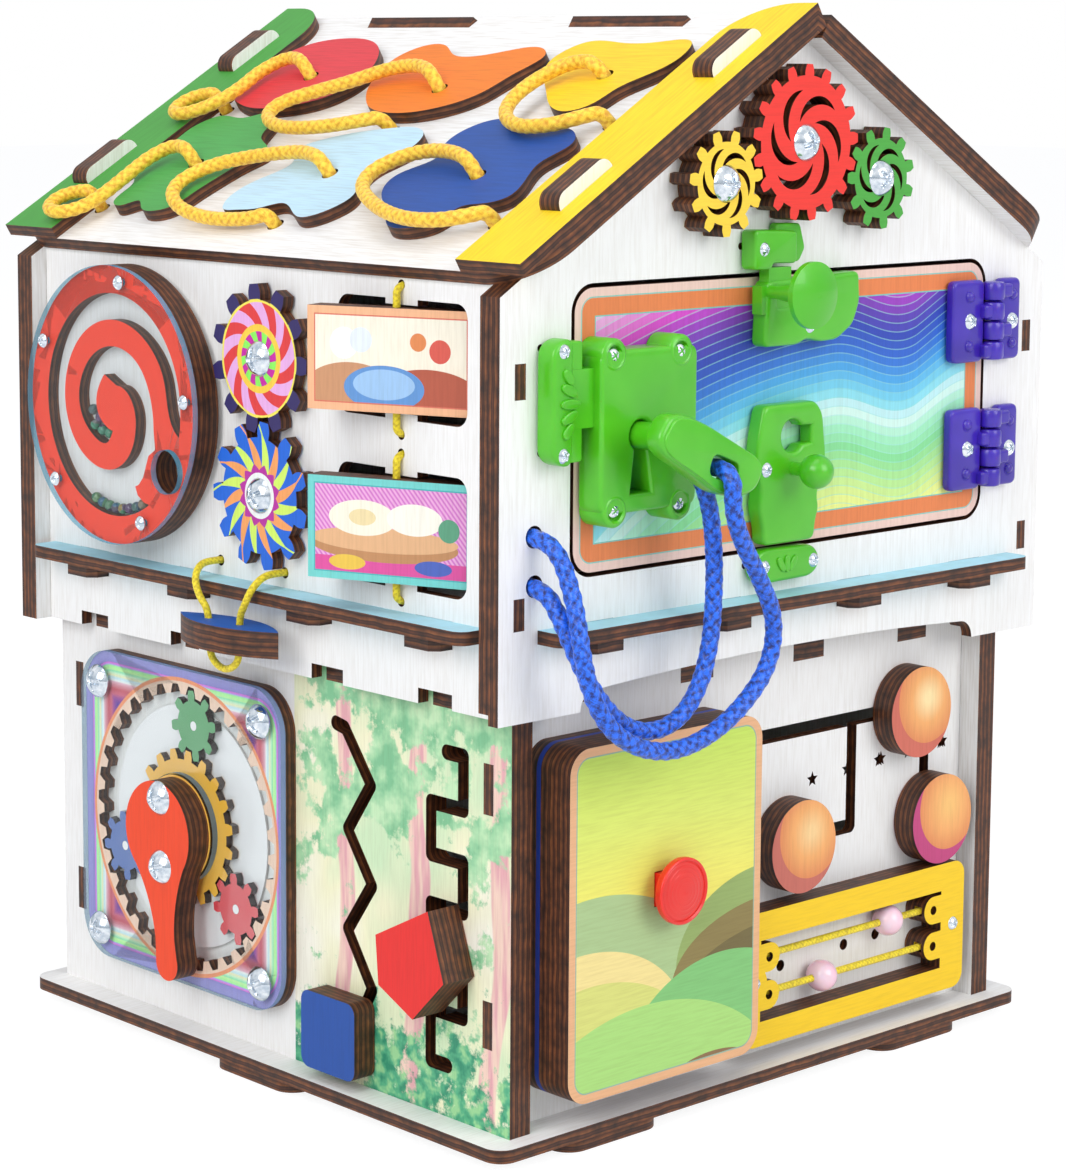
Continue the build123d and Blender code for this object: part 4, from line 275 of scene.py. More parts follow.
def finish(material, colour, height=None, strength=0.0, distance=0.2 * mm):
    """Give a material's shader its colour and, where there is a height, a bump of it."""
    tree = material.node_tree
    shader = tree.nodes["Principled BSDF"]
    tree.links.new(colour, shader.inputs["Base Color"])
    if height is not None:
        bump = add_node(tree, "Bump", {"Strength": strength, "Distance": distance, "Height": height})
        tree.links.new(bump, shader.inputs["Normal"])
    return material


def yarn(name, valley_painted_shade, crest_painted_highlight, roughness):
    """Braided plastic yarn: painted shade between strands, painted highlight on crests, fine threads along
    them.
    """
    material, add = fresh(name, Roughness=roughness, Sheen_Weight=0.15)
    (high,), (across,) = (add("Attribute", attribute_name=label, take=["Fac"])
                          for label in ("height", "across"))
    thread = add("Math.MULTIPLY", add("Math.SINE", add("Math.MULTIPLY", across, 28.0)), 0.10)
    place, = add("TexCoord", take=["Object"])
    fuzz = add("TexNoise", {"Vector": place, "Scale": 900.0})
    shade = add("Math.MULTIPLY", add("Math.ADD", high, thread), fuzz)
    # The ramp paints shade where the strands dip and a highlight on their crests.
    return finish(material, add("ValToRGB", shade, stops=((0.20, valley_painted_shade), (0.50, crest_painted_highlight))), shade, 0.35)


# Each yarn's first colour is painted shade between the strands, its second a painted highlight on their
# crests.
blue_yarn = yarn("braided_polypropylene_blue", "#031863", "#1d6cf2", 0.38)
rope, rope_line = braided("blue_rope_braid", rope_route, 5.3 * mm, 3.1, 0.26)
rope.data.materials.append(blue_yarn)
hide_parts("blue_rope")
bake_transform(rope)

# Laces: six yellow braided cords, 4.5 mm thick. Each comes out of a lacing shape and goes down into
# the roof panel beside it; its ends are knotted under the roof.
ridge_z, slope = 323.1, math.radians(31.0)
lace_start = 1.0
laces = {
    "red": ((40.1, 64.0, 12.2), (34.0, 77.0, 12.4), (42.5, 85.5, 11.6), (54.5, 85.0, 11.2),
            (64.5, 89.5, 11.0), (71.0, 97.5, 11.4), (69.0, 105.5, 11.2), (61.5, 106.0, 11.2),
            (57.0, 100.5, 11.0), (56.6, 93.6, 11.0)),
    "orange": ((46.3, -5.7, 12.2), (39.6, 6.2, 12.6), (40.6, 20.4, 12.0), (48.3, 32.5, 11.4),
               (54.5, 45.0, 11.2), (61.5, 55.6, 11.2), (70.0, 54.0, 11.4), (75.6, 43.5, 11.2),
               (76.4, 29.5, 11.2), (74.2, 15.8, 11.2), (70.4, 6.0, 11.0), (65.3, 0.4, 9.4)),
    "yellow": ((37.0, -71.0, 12.2), (36.6, -60.0, 12.6), (44.6, -52.4, 12.0), (55.0, -49.6, 11.4),
               (65.2, -54.0, 11.2), (71.8, -65.4, 11.2), (70.8, -78.4, 11.2), (64.6, -86.6, 10.6),
               (58.6, -90.4, 9.0)),
    "green": ((94.0, 66.0, 12.2), (90.0, 77.6, 12.6), (96.8, 84.4, 12.0), (106.2, 85.4, 11.4),
              (116.0, 86.6, 10.6), (124.6, 89.6, 10.0), (130.4, 96.6, 11.0), (128.8, 104.6, 11.4),
              (122.0, 106.8, 11.2), (117.4, 101.0, 11.0), (116.6, 93.6, 11.0)),
    "light": ((96.0, -3.3, 12.2), (91.4, 8.6, 12.6), (91.6, 22.0, 12.0), (94.2, 36.0, 11.6),
              (99.0, 49.0, 11.4), (107.4, 55.8, 11.2), (115.8, 53.0, 11.2), (121.4, 43.4, 9.6),
              (123.0, 30.6, 7.8), (122.6, 17.6, 7.4), (121.4, 7.6, 7.6), (118.9, 1.4, 8.4)),
    "dark": ((93.0, -67.3, 12.2), (88.2, -55.6, 12.6), (87.0, -42.0, 12.0), (91.0, -31.6, 11.4),
             (98.6, -26.8, 11.2), (107.0, -30.6, 11.2), (113.6, -41.4, 11.2), (118.8, -53.4, 11.2),
             (121.8, -66.6, 11.2), (121.0, -79.0, 11.0), (116.8, -86.8, 10.2), (111.4, -90.4, 8.8)),
}
# Dark gold is painted shade between the strands, bright gold a painted highlight on their crests.
gold_yarn = yarn("braided_polyester_gold", "#dc9a14", "#ffd640", 0.5)
for label, places in laces.items():
    lace_route = [(-u * math.cos(slope) - w * math.sin(slope), y,
                   ridge_z - u * math.sin(slope) + w * math.cos(slope))
                  for u, y, w in ((*places[0][:2], lace_start), *places, (*places[-1][:2], lace_start))]
    lace, lace_line = braided(f"lace_{label}", lace_route, 4.5 * mm, 2.9, 0.17, 44, 0.085)
    lace.data.materials.append(gold_yarn)
    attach(lace, "house")
    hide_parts("lacing_ropes")

# Thin yellow cords, 2.3 mm: two upright ones that carry the picture blocks, two level ones for the
# beads, and the one that the swing hangs from. All are pulled tight through holes and knotted behind.
picture_x, picture_y, cord_back_x = -116.0, -68.5, -111.0
near_bend = 5.0
thin_routes = {}
for label, z_low, z_high in (("upper", 208.5, 251.6), ("lower", 159.9, 203.0)):
    thin_routes[f"picture_cord_{label}"] = (0.0512, [
        (cord_back_x, picture_y, z_high), (picture_x, picture_y, z_high),
        (picture_x, picture_y, z_high - near_bend), (picture_x, picture_y, z_low + near_bend),
        (picture_x, picture_y, z_low), (cord_back_x, picture_y, z_low)])
abacus_y, abacus_back_y, abacus_x0, abacus_x1 = -107.4, -102.4, 0.6, 79.6
for label, z in (("upper", 40.8), ("lower", 28.8)):
    thin_routes[f"bead_cord_{label}"] = (0.0871, [
        (abacus_x0, abacus_back_y, z), (abacus_x0, abacus_y, z), (abacus_x0 + near_bend, abacus_y, z),
        (abacus_x1 - near_bend, abacus_y, z), (abacus_x1, abacus_y, z), (abacus_x1, abacus_back_y, z)])
thin_routes["swing_cord_yarn"] = (0.0977, [
    (-111.4, 16.2, 161.6), (-117.4, 16.3, 161.9), (-122.6, 15.8, 161.4), (-126.2, 14.0, 157.8),
    (-126.8, 11.0, 152.6), (-126.0, 7.0, 148.4), (-126.0, 7.0, 136.0), (-126.0, 4.2, 132.6),
    (-126.0, -0.4, 131.2), (-126.0, -5.0, 132.6), (-126.0, -7.9, 136.0), (-126.0, -7.9, 148.4),
    (-126.8, -11.4, 152.6), (-126.2, -14.0, 157.8), (-122.6, -15.2, 161.4), (-117.4, -15.3, 161.9),
    (-111.4, -15.2, 161.6)])
# Olive yellow is painted shade between the strands, bright yellow a painted highlight on their crests.
thin_yarn = yarn("braided_polyester_yellow", "#c4a80e", "#f9e224", 0.5)
for label, (length, route) in thin_routes.items():
    thin, thin_line = braided(label, route, 2.3 * mm, 2.6, 0.10, 24, 0.14)
    thin.data.materials.append(thin_yarn)
    is_swing = label.startswith("swing")
    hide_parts("swing_cord" if is_swing else "yellow_cords")
    if is_swing:
        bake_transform(thin)
    else:
        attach(thin, "house")


# Painted birch plywood: laser-cut sheets of 4 mm, often two glued together. Each face is sprayed with
# thin white paint that lets the grain through; each cut edge is burnt brown and shows its veneers.
ply = 4.0 * mm
face_limit = 0.72           # a face looks this much along the sheet's direction, and an edge less
white_paint = "#f3f2f0"
burnt_stops = ((0.0, "#220e07"), (0.10, "#5c2e18"), (0.30, "#8a5027"), (0.37, "#34160b"),
               (0.50, "#5c2f18"), (0.62, "#32160c"), (0.70, "#8b5229"), (0.90, "#63341b"), (1.0, "#220e07"))


def burnt_edge(add, place, depth):
    """Colour of a laser-burnt edge: three veneers per sheet of 4 mm by depth, mottled along the cut."""
    smear = add("TexNoise", {"Vector": place, "Scale": 120.0, "Detail": 3.0})
    shifted = add("Math.ADD", depth, add("Math.MULTIPLY", smear, 1.2 * mm))
    layer = add("Math.FRACT", add("Math.MULTIPLY", shifted, 1 / ply))
    mottle = add("ValToRGB", add("TexNoise", {"Vector": place, "Scale": 260.0, "Detail": 4.0}),
                 stops=((0.3, "#8a8a8a"), (0.7, "#ffffff")))
    return add("MixRGB", 1.0, add("ValToRGB", layer, stops=burnt_stops), mottle, blend_type="MULTIPLY")


def ply_finish(add, material, place, facing, depth, colour, grain, share=0.7, rough=0.5, edge=burnt_edge):
    """Faces in their colour under streaks of fibre that run along the grain, edges burnt."""
    fibre = add("TexNoise", {"Vector": add("VectorMath.MULTIPLY", place, grain), "Scale": 1400.0,
                             "Detail": 3.0, "Roughness": rough})
    streak = add("ValToRGB", fibre, stops=((0.25, "#e2ddd6"), (0.6, "#ffffff")))
    painted = add("MixRGB", share, colour, streak, blend_type="MULTIPLY")
    is_face = add("Math.GREATER_THAN", facing, face_limit)
    return finish(material, add("MixRGB", is_face, edge(add, place, depth), painted), fibre, 0.12)


def plywood(name, across, front, face, grain=(1.0, 1.0, 0.06), edge=burnt_edge):
    """Plywood sheets whose faces look along `across`, with the printed or painted face given as a colour
    or as a function of (add, place); front is where the face lies."""
    material, add = fresh(name, Roughness=0.55)
    place, normal = add("TexCoord", take=("Object", "Normal"))
    facing = add("Math.ABSOLUTE", add("VectorMath.DOT_PRODUCT", normal, across))
    depth = add("Math.SUBTRACT", add("VectorMath.DOT_PRODUCT", place, across), front)
    colour = face(add, place) if callable(face) else face
    return ply_finish(add, material, place, facing, depth, colour, grain, share=0.45, rough=0.6,
                      edge=edge)


def dress(label, material):
    """Give a CAD node that keeps its shape its own finish."""
    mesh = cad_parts[label].data
    mesh.materials.clear()
    mesh.materials.append(material)


upwards, left_face, front_face = (0, 0, 1), (-1, 0, 0), (0, -1, 0)
grain_along_x, grain_along_y = (0.06, 1, 1), (1, 0.06, 1)

# Base, feet and floors: level sheets. Only their edges and the rim of the base plate show.
dress("base_plate", plywood("white_ply_base", upwards, 4 * mm, white_paint, grain_along_x))
dress("feet", plywood("burnt_ply_feet", upwards, 0.0, "#c9a882", grain_along_x))
dress("floor_plates", plywood("white_ply_floors", upwards, 130 * mm, white_paint, grain_along_x))

# Upper and lower walls in white. The hidden walls at the back and right share one node, so their
# edges are told from their faces by place: side walls face X and the end walls face Y.
dress("upper_wall_left", plywood("white_ply_upper_side", left_face, 110.2 * mm, white_paint))
dress("gable_front", plywood("white_ply_gable", front_face, 108.1 * mm, white_paint))
dress("lower_front_panel", plywood("white_ply_lower_front", front_face, 98.1 * mm, white_paint))
upper_end_y, lower_end_y, side_in_x = 107.9 * mm, 90 * mm, 100.4 * mm
side_face_x, end_face_y = 100.2 * mm, 108.1 * mm
plain, add = fresh("white_ply_hidden_walls", Roughness=0.55)
place, normal = add("TexCoord", take=("Object", "Normal"))
x, y = add("SeparateXYZ", place, take="XY")
facing_x, facing_y = add("SeparateXYZ", add("VectorMath.ABSOLUTE", normal), take="XY")
lower_end = add("Math.MULTIPLY", add("Math.LESS_THAN", x, side_in_x),
                add("Math.GREATER_THAN", y, lower_end_y))
end_wall = add("Math.MAXIMUM", add("Math.GREATER_THAN", y, upper_end_y), lower_end)
depth = add("MixRGB", end_wall, add("Math.SUBTRACT", x, side_face_x),
            add("Math.SUBTRACT", y, end_face_y))
facing = add("MixRGB", end_wall, facing_x, facing_y)
dress("plain_walls", ply_finish(add, plain, place, facing, depth, white_paint, (1, 1, 0.06)))

# Ledges: strips painted light blue on top, dark burnt rims, with the floor's tabs under them.
dress("ledges", plywood("sky_blue_ply_ledges", upwards, 153 * mm, "#a9dcec", (0.1, 0.1, 1)))


def slope_sheet(name, face, grain):
    """Plywood of the roof: a face looks up the slope or down from it, so its normal's Z tells it from an
    edge. face is a colour or a function of (add, place, distance down the slope)."""
    material, add = fresh(name, Roughness=0.55)
    place, normal = add("TexCoord", take=("Object", "Normal"))
    upright, = add("SeparateXYZ", add("VectorMath.ABSOLUTE", normal), take="Z")
    folded = add("VectorMath.ABSOLUTE", place)
    raised = add("VectorMath.DOT_PRODUCT", folded, (math.sin(slope), 0, math.cos(slope)))
    depth = add("Math.SUBTRACT", raised, ridge_z * mm * math.cos(slope))
    down = add("VectorMath.DOT_PRODUCT", folded, (math.cos(slope), 0, -math.sin(slope)))
    down = add("Math.ADD", down, ridge_z * mm * math.sin(slope))
    colour = face(add, place, down) if callable(face) else face
    return ply_finish(add, material, place, upright, depth, colour, grain)


# Roof: two white panels, finger-jointed along the ridge, with rails over their ends: green ones at
# the back and yellow ones at the front.
dress("roof_panels", slope_sheet("white_ply_roof", white_paint, grain_along_y))


def over(add, colour, value, edges, test="LESS_THAN"):
    """Lay colours over each other, each where the value passes the test against its edge in millimetres."""
    for edge, laid in edges:
        colour = add("MixRGB", add(f"Math.{test}", value, edge * mm), colour, laid)
    return colour


def rail_paint(add, place, down):
    """Yellow in front of the middle of the house, green behind it."""
    return over(add, "#fbd512", *add("SeparateXYZ", place, take="Y"), [(0.0, "#3f9a35")], "GREATER_THAN")


dress("roof_rails", slope_sheet("yellow_and_green_ply_rails", rail_paint, (0.06, 1, 0.06)))

# Lacing shapes: six wavy plates, each in its own flat paint, told apart by their rows on the slope.
row_edge = 61.5             # between the upper and the lower row, measured down from the ridge
row_paints = (((36.0, "#d9303c"), (-38.0, "#ee7d16"), "#fbd01a"),
              ((36.0, "#45a24b"), (-30.0, "#bfe0f2"), "#0c4aa0"))


def shape_paint(add, place, down):
    """The paint of each of the six shapes: three in each row, from the back to the front."""
    y, = add("SeparateXYZ", place, take="Y")
    upper, lower = (over(add, last, y, (middle, first), "GREATER_THAN") for first, middle, last in row_paints)
    return over(add, upper, down, [(row_edge, lower)], "GREATER_THAN")


dress("lacing_shapes", slope_sheet("painted_ply_lacing_shapes", shape_paint, grain_along_y))

# Gears on the gable: flat red, yellow and green paint on the face, double burnt edges.
for label, paint in (("red", "#ee3328"), ("yellow", "#f9d13c"), ("green", "#48a53c")):
    dress(f"gear_{label}", plywood(f"{label}_ply_gear", front_face, 116.4 * mm, paint, grain_along_x))

# Cogs on the left wall: each is one printed sheet. The prints are rings of petals and swirls, worked
# out from the distance and the angle round the screw.
cog_y, cog_high, cog_low = -9.0, 226.2, 184.8
cog_back = 115.0 * mm


def from_middle(add, place, names, middle):
    """The named coordinates of a place, counted from a middle."""
    split = add("SeparateXYZ", place, take=names)
    return [add("Math.SUBTRACT", part, at) for part, at in zip(split, middle)]


def hypotenuse(add, one, two):
    """The root of the sum of two squares."""
    squares = [add("Math.MULTIPLY", part, part) for part in (one, two)]
    return add("Math.SQRT", add("Math.ADD", *squares))


def round_the_screw(add, place, z_centre, y_centre=cog_y):
    """Distance and angle (in turns, from 0 to 1) of a point of the left wall round a centre."""
    across, up = from_middle(add, place, "YZ", (y_centre * mm, z_centre * mm))
    turn = add("Math.MULTIPLY", add("Math.ARCTAN2", up, across), 1 / (2 * math.pi))
    return hypotenuse(add, across, up), add("Math.ADD", turn, 0.5)


def sectors(add, turn, far, count, twist, share=0.5):
    """1 in `share` of each of `count` equal sectors that lean by `twist` sectors per metre outwards, else 0.
    The second value is the place across the sector, from 0 to 1."""
    lean = add("Math.MULTIPLY", far, twist)
    part = add("Math.FRACT", add("Math.ADD", add("Math.MULTIPLY", turn, float(count)), lean))
    return add("Math.LESS_THAN", part, share), part


def candy_print(add, place):
    """Green and magenta spokes, a yellow ring, red and lilac swirls, a yellow rim and navy tooth tips."""
    far, turn = round_the_screw(add, place, cog_high)
    spokes = add("MixRGB", sectors(add, turn, far, 9, 60.0)[0], "#8df35e", "#c81aa2")
    swirls = add("MixRGB", sectors(add, turn, far, 9, 95.0)[0], "#e03a3a", "#e9aee3")
    return over(add, spokes, far, ((8.3, "#f8cf45"), (10.4, swirls), (17.0, "#f6e85c"), (17.9, "#2a1d5e")),
                "GREATER_THAN")


def petal_print(add, place):
    """White hub, magenta scallops, then curved lime and orange petals on royal blue."""
    far, turn = round_the_screw(add, place, cog_low)
    _, part = sectors(add, turn, far, 16, 70.0)
    half = add("Math.ABSOLUTE", add("Math.SUBTRACT", part, 0.5))
    petal = add("Math.LESS_THAN", half, add("MapRange", far, 8.5 * mm, 18.6 * mm, 0.52, 0.04))
    other, _ = sectors(add, turn, far, 8, 35.0)
    colour = add("MixRGB", petal, "#1565d6", add("MixRGB", other, "#d3f267", "#f4a25e"))
    _, scallop = sectors(add, turn, far, 12, 0.0)
    bulge = add("Math.ABSOLUTE", add("Math.SUBTRACT", scallop, 0.5))
    edge = add("Math.SUBTRACT", 9.8 * mm, add("Math.MULTIPLY", bulge, 4.0 * mm))
    colour = add("MixRGB", add("Math.LESS_THAN", far, edge), colour, "#b7279d")
    return over(add, colour, far, [(7.0, "#f1f4f1")])


dress("cog_upper", plywood("candy_printed_ply_cog", left_face, cog_back, candy_print))
dress("cog_lower", plywood("petal_printed_ply_cog", left_face, cog_back, petal_print))

# Spiral maze: a disc of two layers. The lower layer is the white floor of the channel; the upper one is
# painted orange-red and its cut edges are burnt dark.
maze_floor = 121.0


def maze_paint(add, place):
    """Orange-red on the layer in front of the channel's floor, white on the floor itself."""
    return over(add, "#eceaea", *add("SeparateXYZ", place, take="X"), [(-maze_floor, "#f23c1c")])


dress("maze_disc", plywood("orange_red_ply_maze", left_face, 116.4 * mm, maze_paint))


# Clear covers of the maze and of the planet gears: 2 mm cast acrylic. The pale blue of the cut rim is partly
# the acrylic's tint and partly painted light that the rim gathers.
def clear_sheet(name, rim):
    """A thin clear pane: see-through, with a gloss that grows at grazing angles, and a rim coloured by tint
    and painted light.
    """
    material, add = fresh(name)
    material.node_tree.nodes.clear()
    facing = add("VectorMath.DOT_PRODUCT", *add("TexCoord", take=["Normal"]), left_face)
    is_face = add("Math.GREATER_THAN", add("Math.ABSOLUTE", facing), face_limit)
    outside = add("Math.SUBTRACT", 1.0, *add("NewGeometry", take=["Backfacing"]))
    gloss = add("Math.MULTIPLY", add("Fresnel", 1.3), outside)
    pane = add("MixShader", gloss, add("BsdfTransparent", "#fbfdfd"),
               add("BsdfAnisotropic", {"Color": "#ffffff", "Roughness": 0.05}))
    # The rim's diffuse colour is partly the acrylic's tint and partly painted light gathered in the cut edge.
    cut = add("MixShader", 0.55, add("BsdfTransparent", "#cfe9f2"), add("BsdfDiffuse", rim))
    add("OutputMaterial", add("MixShader", is_face, cut, pane))
    return material


dress("maze_cover", clear_sheet("clear_acrylic_maze", "#58b4d8"))
dress("gear_cover", clear_sheet("clear_acrylic_gears", "#93a6b4"))

# Glass beads in the channel: clear green, purple and amber ones.
glass, add = fresh("coloured_glass_beads", Roughness=0.06, Transmission_Weight=0.55, IOR=1.5)
place, = add("TexCoord", take=["Object"])
cell, = add("TexVoronoi", {"Vector": place, "Scale": 240.0}, feature="F1", take=["Color"])
dress("maze_beads", finish(glass, add("ValToRGB", add("SeparateColor", cell), stops=(
    (0.0, "#2f8f6a"), (0.33, "#7a3a86"), (0.5, "#55b28c"), (0.66, "#c99a4a"), (0.85, "#3f7fa8")))))

# Picture blocks: each turns on its cord. Their fronts have a printed border round a bright field with
# plain shapes; the sides are burnt ply of two layers.
block_turn = math.radians(21.0)
block_half_w, block_half_h = 27.0 * mm, 15.0 * mm
block_out = (-math.cos(block_turn), -math.sin(block_turn), 0)
block_along = (math.sin(block_turn), -math.cos(block_turn), 0)
block_front = (picture_x * block_out[0] + picture_y * block_out[1] - 4.0) * mm


def block_places(add, place, z_centre):
    """Place on a block's face from its middle, across (to the right) and up, with the inset from its rim."""
    offset = add("VectorMath.SUBTRACT", place, (picture_x * mm, picture_y * mm, z_centre * mm))
    across = add("VectorMath.DOT_PRODUCT", offset, block_along)
    up, = add("SeparateXYZ", offset, take="Z")
    insets = [add("Math.SUBTRACT", half, add("Math.ABSOLUTE", value))
              for half, value in ((block_half_w, across), (block_half_h, up))]
    return across, up, add("Math.MINIMUM", *insets)


def layered(add, colour, across, up, shapes):
    """Lay ellipses of flat colour over each other: (centre, radii, colour), in millimetres."""
    for centre, radii, laid in shapes:
        scaled = [add("Math.MULTIPLY", add("Math.SUBTRACT", value, middle * mm), 1 / (radius * mm))
                  for value, middle, radius in zip((across, up), centre, radii)]
        squares = [add("Math.MULTIPLY", one, one) for one in scaled]
        inside = add("Math.LESS_THAN", add("Math.ADD", *squares), 1.0)
        colour = add("MixRGB", inside, colour, laid)
    return colour


def peach_print(add, place):
    """Peach border with a red line, and a cream field with round hills, a pond and berries."""
    across, up, inset = block_places(add, place, 230.25)
    field = add("ValToRGB", add("Math.MULTIPLY_ADD", up, 33.0, 0.5),
                stops=((0.0, "#f3dcc0"), (0.5, "#f9f0dc"), (1.0, "#f2ecd9")))
    field = layered(add, field, across, up, (
        ((-13, -9), (15, 8), "#c9926a"), ((12, -11), (18, 9), "#b4573f"),
        ((-2, -8), (13, 6.5), "#5f93cf"), ((-2, -7), (10, 4.4), "#9cc3ea"),
        ((16, 3.2), (3.4, 3.4), "#d8584a"), ((9, 5.6), (2.6, 2.6), "#e2894f"),
        ((-15, 4.5), (4.6, 4.6), "#f4f5f7"), ((-9.5, 5.6), (3.6, 3.6), "#e4ecf6")))
    return over(add, field, inset, ((2.6, "#d9705a"), (2.2, "#efb58a")))


def turquoise_print(add, place):
    """Turquoise border, magenta field in slanting pencil strokes, with plain boards and balls."""
    across, up, inset = block_places(add, place, 181.05)
    slant = add("Math.ADD", across, add("Math.MULTIPLY", up, 0.8))
    stroke = add("Math.SINE", add("Math.MULTIPLY", slant, 4200.0))
    field = add("ValToRGB", add("Math.MULTIPLY_ADD", stroke, 0.5, 0.5),
                stops=((0.0, "#d06cc4"), (1.0, "#ecb3dc")))
    field = layered(add, over(add, field, up, [(-8.2, "#dc4f9c")]), across, up, (
        ((-2, -4.4), (24, 4.8), "#c08a5c"), ((-2, -2.8), (24, 3.6), "#e2b183"),
        ((-9, 3.4), (11, 5.2), "#f4f0dc"), ((8, 3.8), (9, 4.6), "#f7f4e6"),
        ((-9, 3.6), (4.4, 2.4), "#ecd9a6"), ((19, 1.4), (3.4, 3.4), "#5a9e7c"),
        ((14, -9.8), (6, 2.2), "#4a62b8"), ((-14, -9.8), (6, 2.2), "#e9c24a")))
    return over(add, field, inset, ((2.4, "#3fb0b4"), (2.0, "#72cfc9")))


dress("picture_block_upper", plywood("peach_printed_ply_block", block_out, block_front, peach_print))
dress("picture_block_lower", plywood("turquoise_printed_ply_block", block_out, block_front, turquoise_print))

# Swing: a lens of two layers with a blue top.
dress("swing_plate", plywood("royal_blue_ply_swing", upwards, 138.2 * mm, "#1459b4", grain_along_y))

# Planet-gear panel: the printed ring frame has a lavender border, thin rainbow lines that darken to
# purple in the corners, and an orange line round the toothed opening.
ring_middle, ring_half, ring_corner = (38.8 * mm, 73.2 * mm), (52.0 * mm, 51.0 * mm), 14.0 * mm
sun_y, sun_z = 38.5, 72.7


def rim_inset(add, across, up, halves, corner):
    """How far a point lies inside a rounded rectangle centred on the origin of across and up: the corner's
    radius, less the length of what lies past its centre."""
    past = [add("Math.SUBTRACT", add("Math.ABSOLUTE", value), half - corner)
            for value, half in zip((across, up), halves)]
    outer = hypotenuse(add, *[add("Math.MAXIMUM", one, 0.0) for one in past])
    inner = add("Math.MINIMUM", add("Math.MAXIMUM", *past), 0.0)
    return add("Math.SUBTRACT", corner, add("Math.ADD", outer, inner))


def rainbow_border(add, place):
    """Colours by the inset from the rounded rim; near the teeth, by the distance from the sun's middle."""
    inset = rim_inset(add, *from_middle(add, place, "YZ", ring_middle), ring_half, ring_corner)
    lines = add("ValToRGB", add("Math.MULTIPLY", inset, 1 / (24 * mm)), stops=(
        (0.0, "#7f7fc4"), (0.02, "#a5a1dc"), (0.13, "#938fd0"), (0.155, "#8a86cc"), (0.16, "#e86ad8"),
        (0.19, "#b8a8f0"), (0.20, "#a4f7a0"), (0.25, "#c9f7a8"), (0.27, "#8ce8b8"), (0.30, "#d4f4d0"),
        (0.33, "#f2f0c0"), (0.36, "#c7e8f2"), (0.40, "#f0f4f0"), (0.42, "#e8b8c8"), (0.46, "#d8909c"),
        (0.52, "#c95868"), (0.58, "#cf6a80"), (0.64, "#9a4a9a"), (0.72, "#5a3aa0"), (0.85, "#3a4aa8"),
        (1.0, "#4a2a78")))
    far, _ = round_the_screw(add, place, sun_z, sun_y)
    return over(add, lines, far, ((48.25, "#f29a6c"), (47.0, "#f2d2bc")))


dress("ring_gear_frame", plywood("rainbow_printed_ply_ring", left_face, 108.6 * mm, rainbow_border))


def acrylic(name, colour, dark):
    """Cast acrylic that is coloured right through: glossy, with a darker cut edge."""
    material, add = fresh(name, Roughness=0.18, Coat_Weight=0.3)
    place, normal = add("TexCoord", take=("Object", "Normal"))
    facing = add("VectorMath.DOT_PRODUCT", normal, left_face)
    is_face = add("Math.GREATER_THAN", add("Math.ABSOLUTE", facing), face_limit)
    cloud = add("TexNoise", {"Vector": place, "Scale": 60.0})
    body = add("MixRGB", add("Math.MULTIPLY", cloud, 0.15), colour, "#ffffff")
    return finish(material, add("MixRGB", is_face, dark, body))


for label, name, colour, dark in (("sun_gear", "yellow_acrylic_sun", "#f7b818", "#3a2416"),
                                  ("planet_green", "green_acrylic_planet", "#3f9a55", "#2a1d1a"),
                                  ("planet_blue", "blue_acrylic_planet", "#1454a8", "#1a1a2a"),
                                  ("planet_red", "red_acrylic_planet", "#dc2f3c", "#2a1518"),
                                  ("planet_carrier", "white_acrylic_carrier", "#f1efef", "#c8c4c2")):
    dress(label, acrylic(name, colour, dark))
dress("crank", plywood("orange_red_ply_crank", left_face, 115.2 * mm, "#ee4413"))

# Sliding shapes: a blue square of two layers and a red five-sided one of three.
dress("slider_blue", plywood("blue_ply_slider", left_face, 108.9 * mm, "#0f4aa0"))
dress("slider_red", plywood("red_ply_slider", left_face, 108.9 * mm, "#e5241f"))

# Lower left wall: white beside the gears, and a printed forest on its front half: soft green leaves,
# a warm light in the middle, pink trunks and darker boughs near the ground.
forest_edge = -12.6


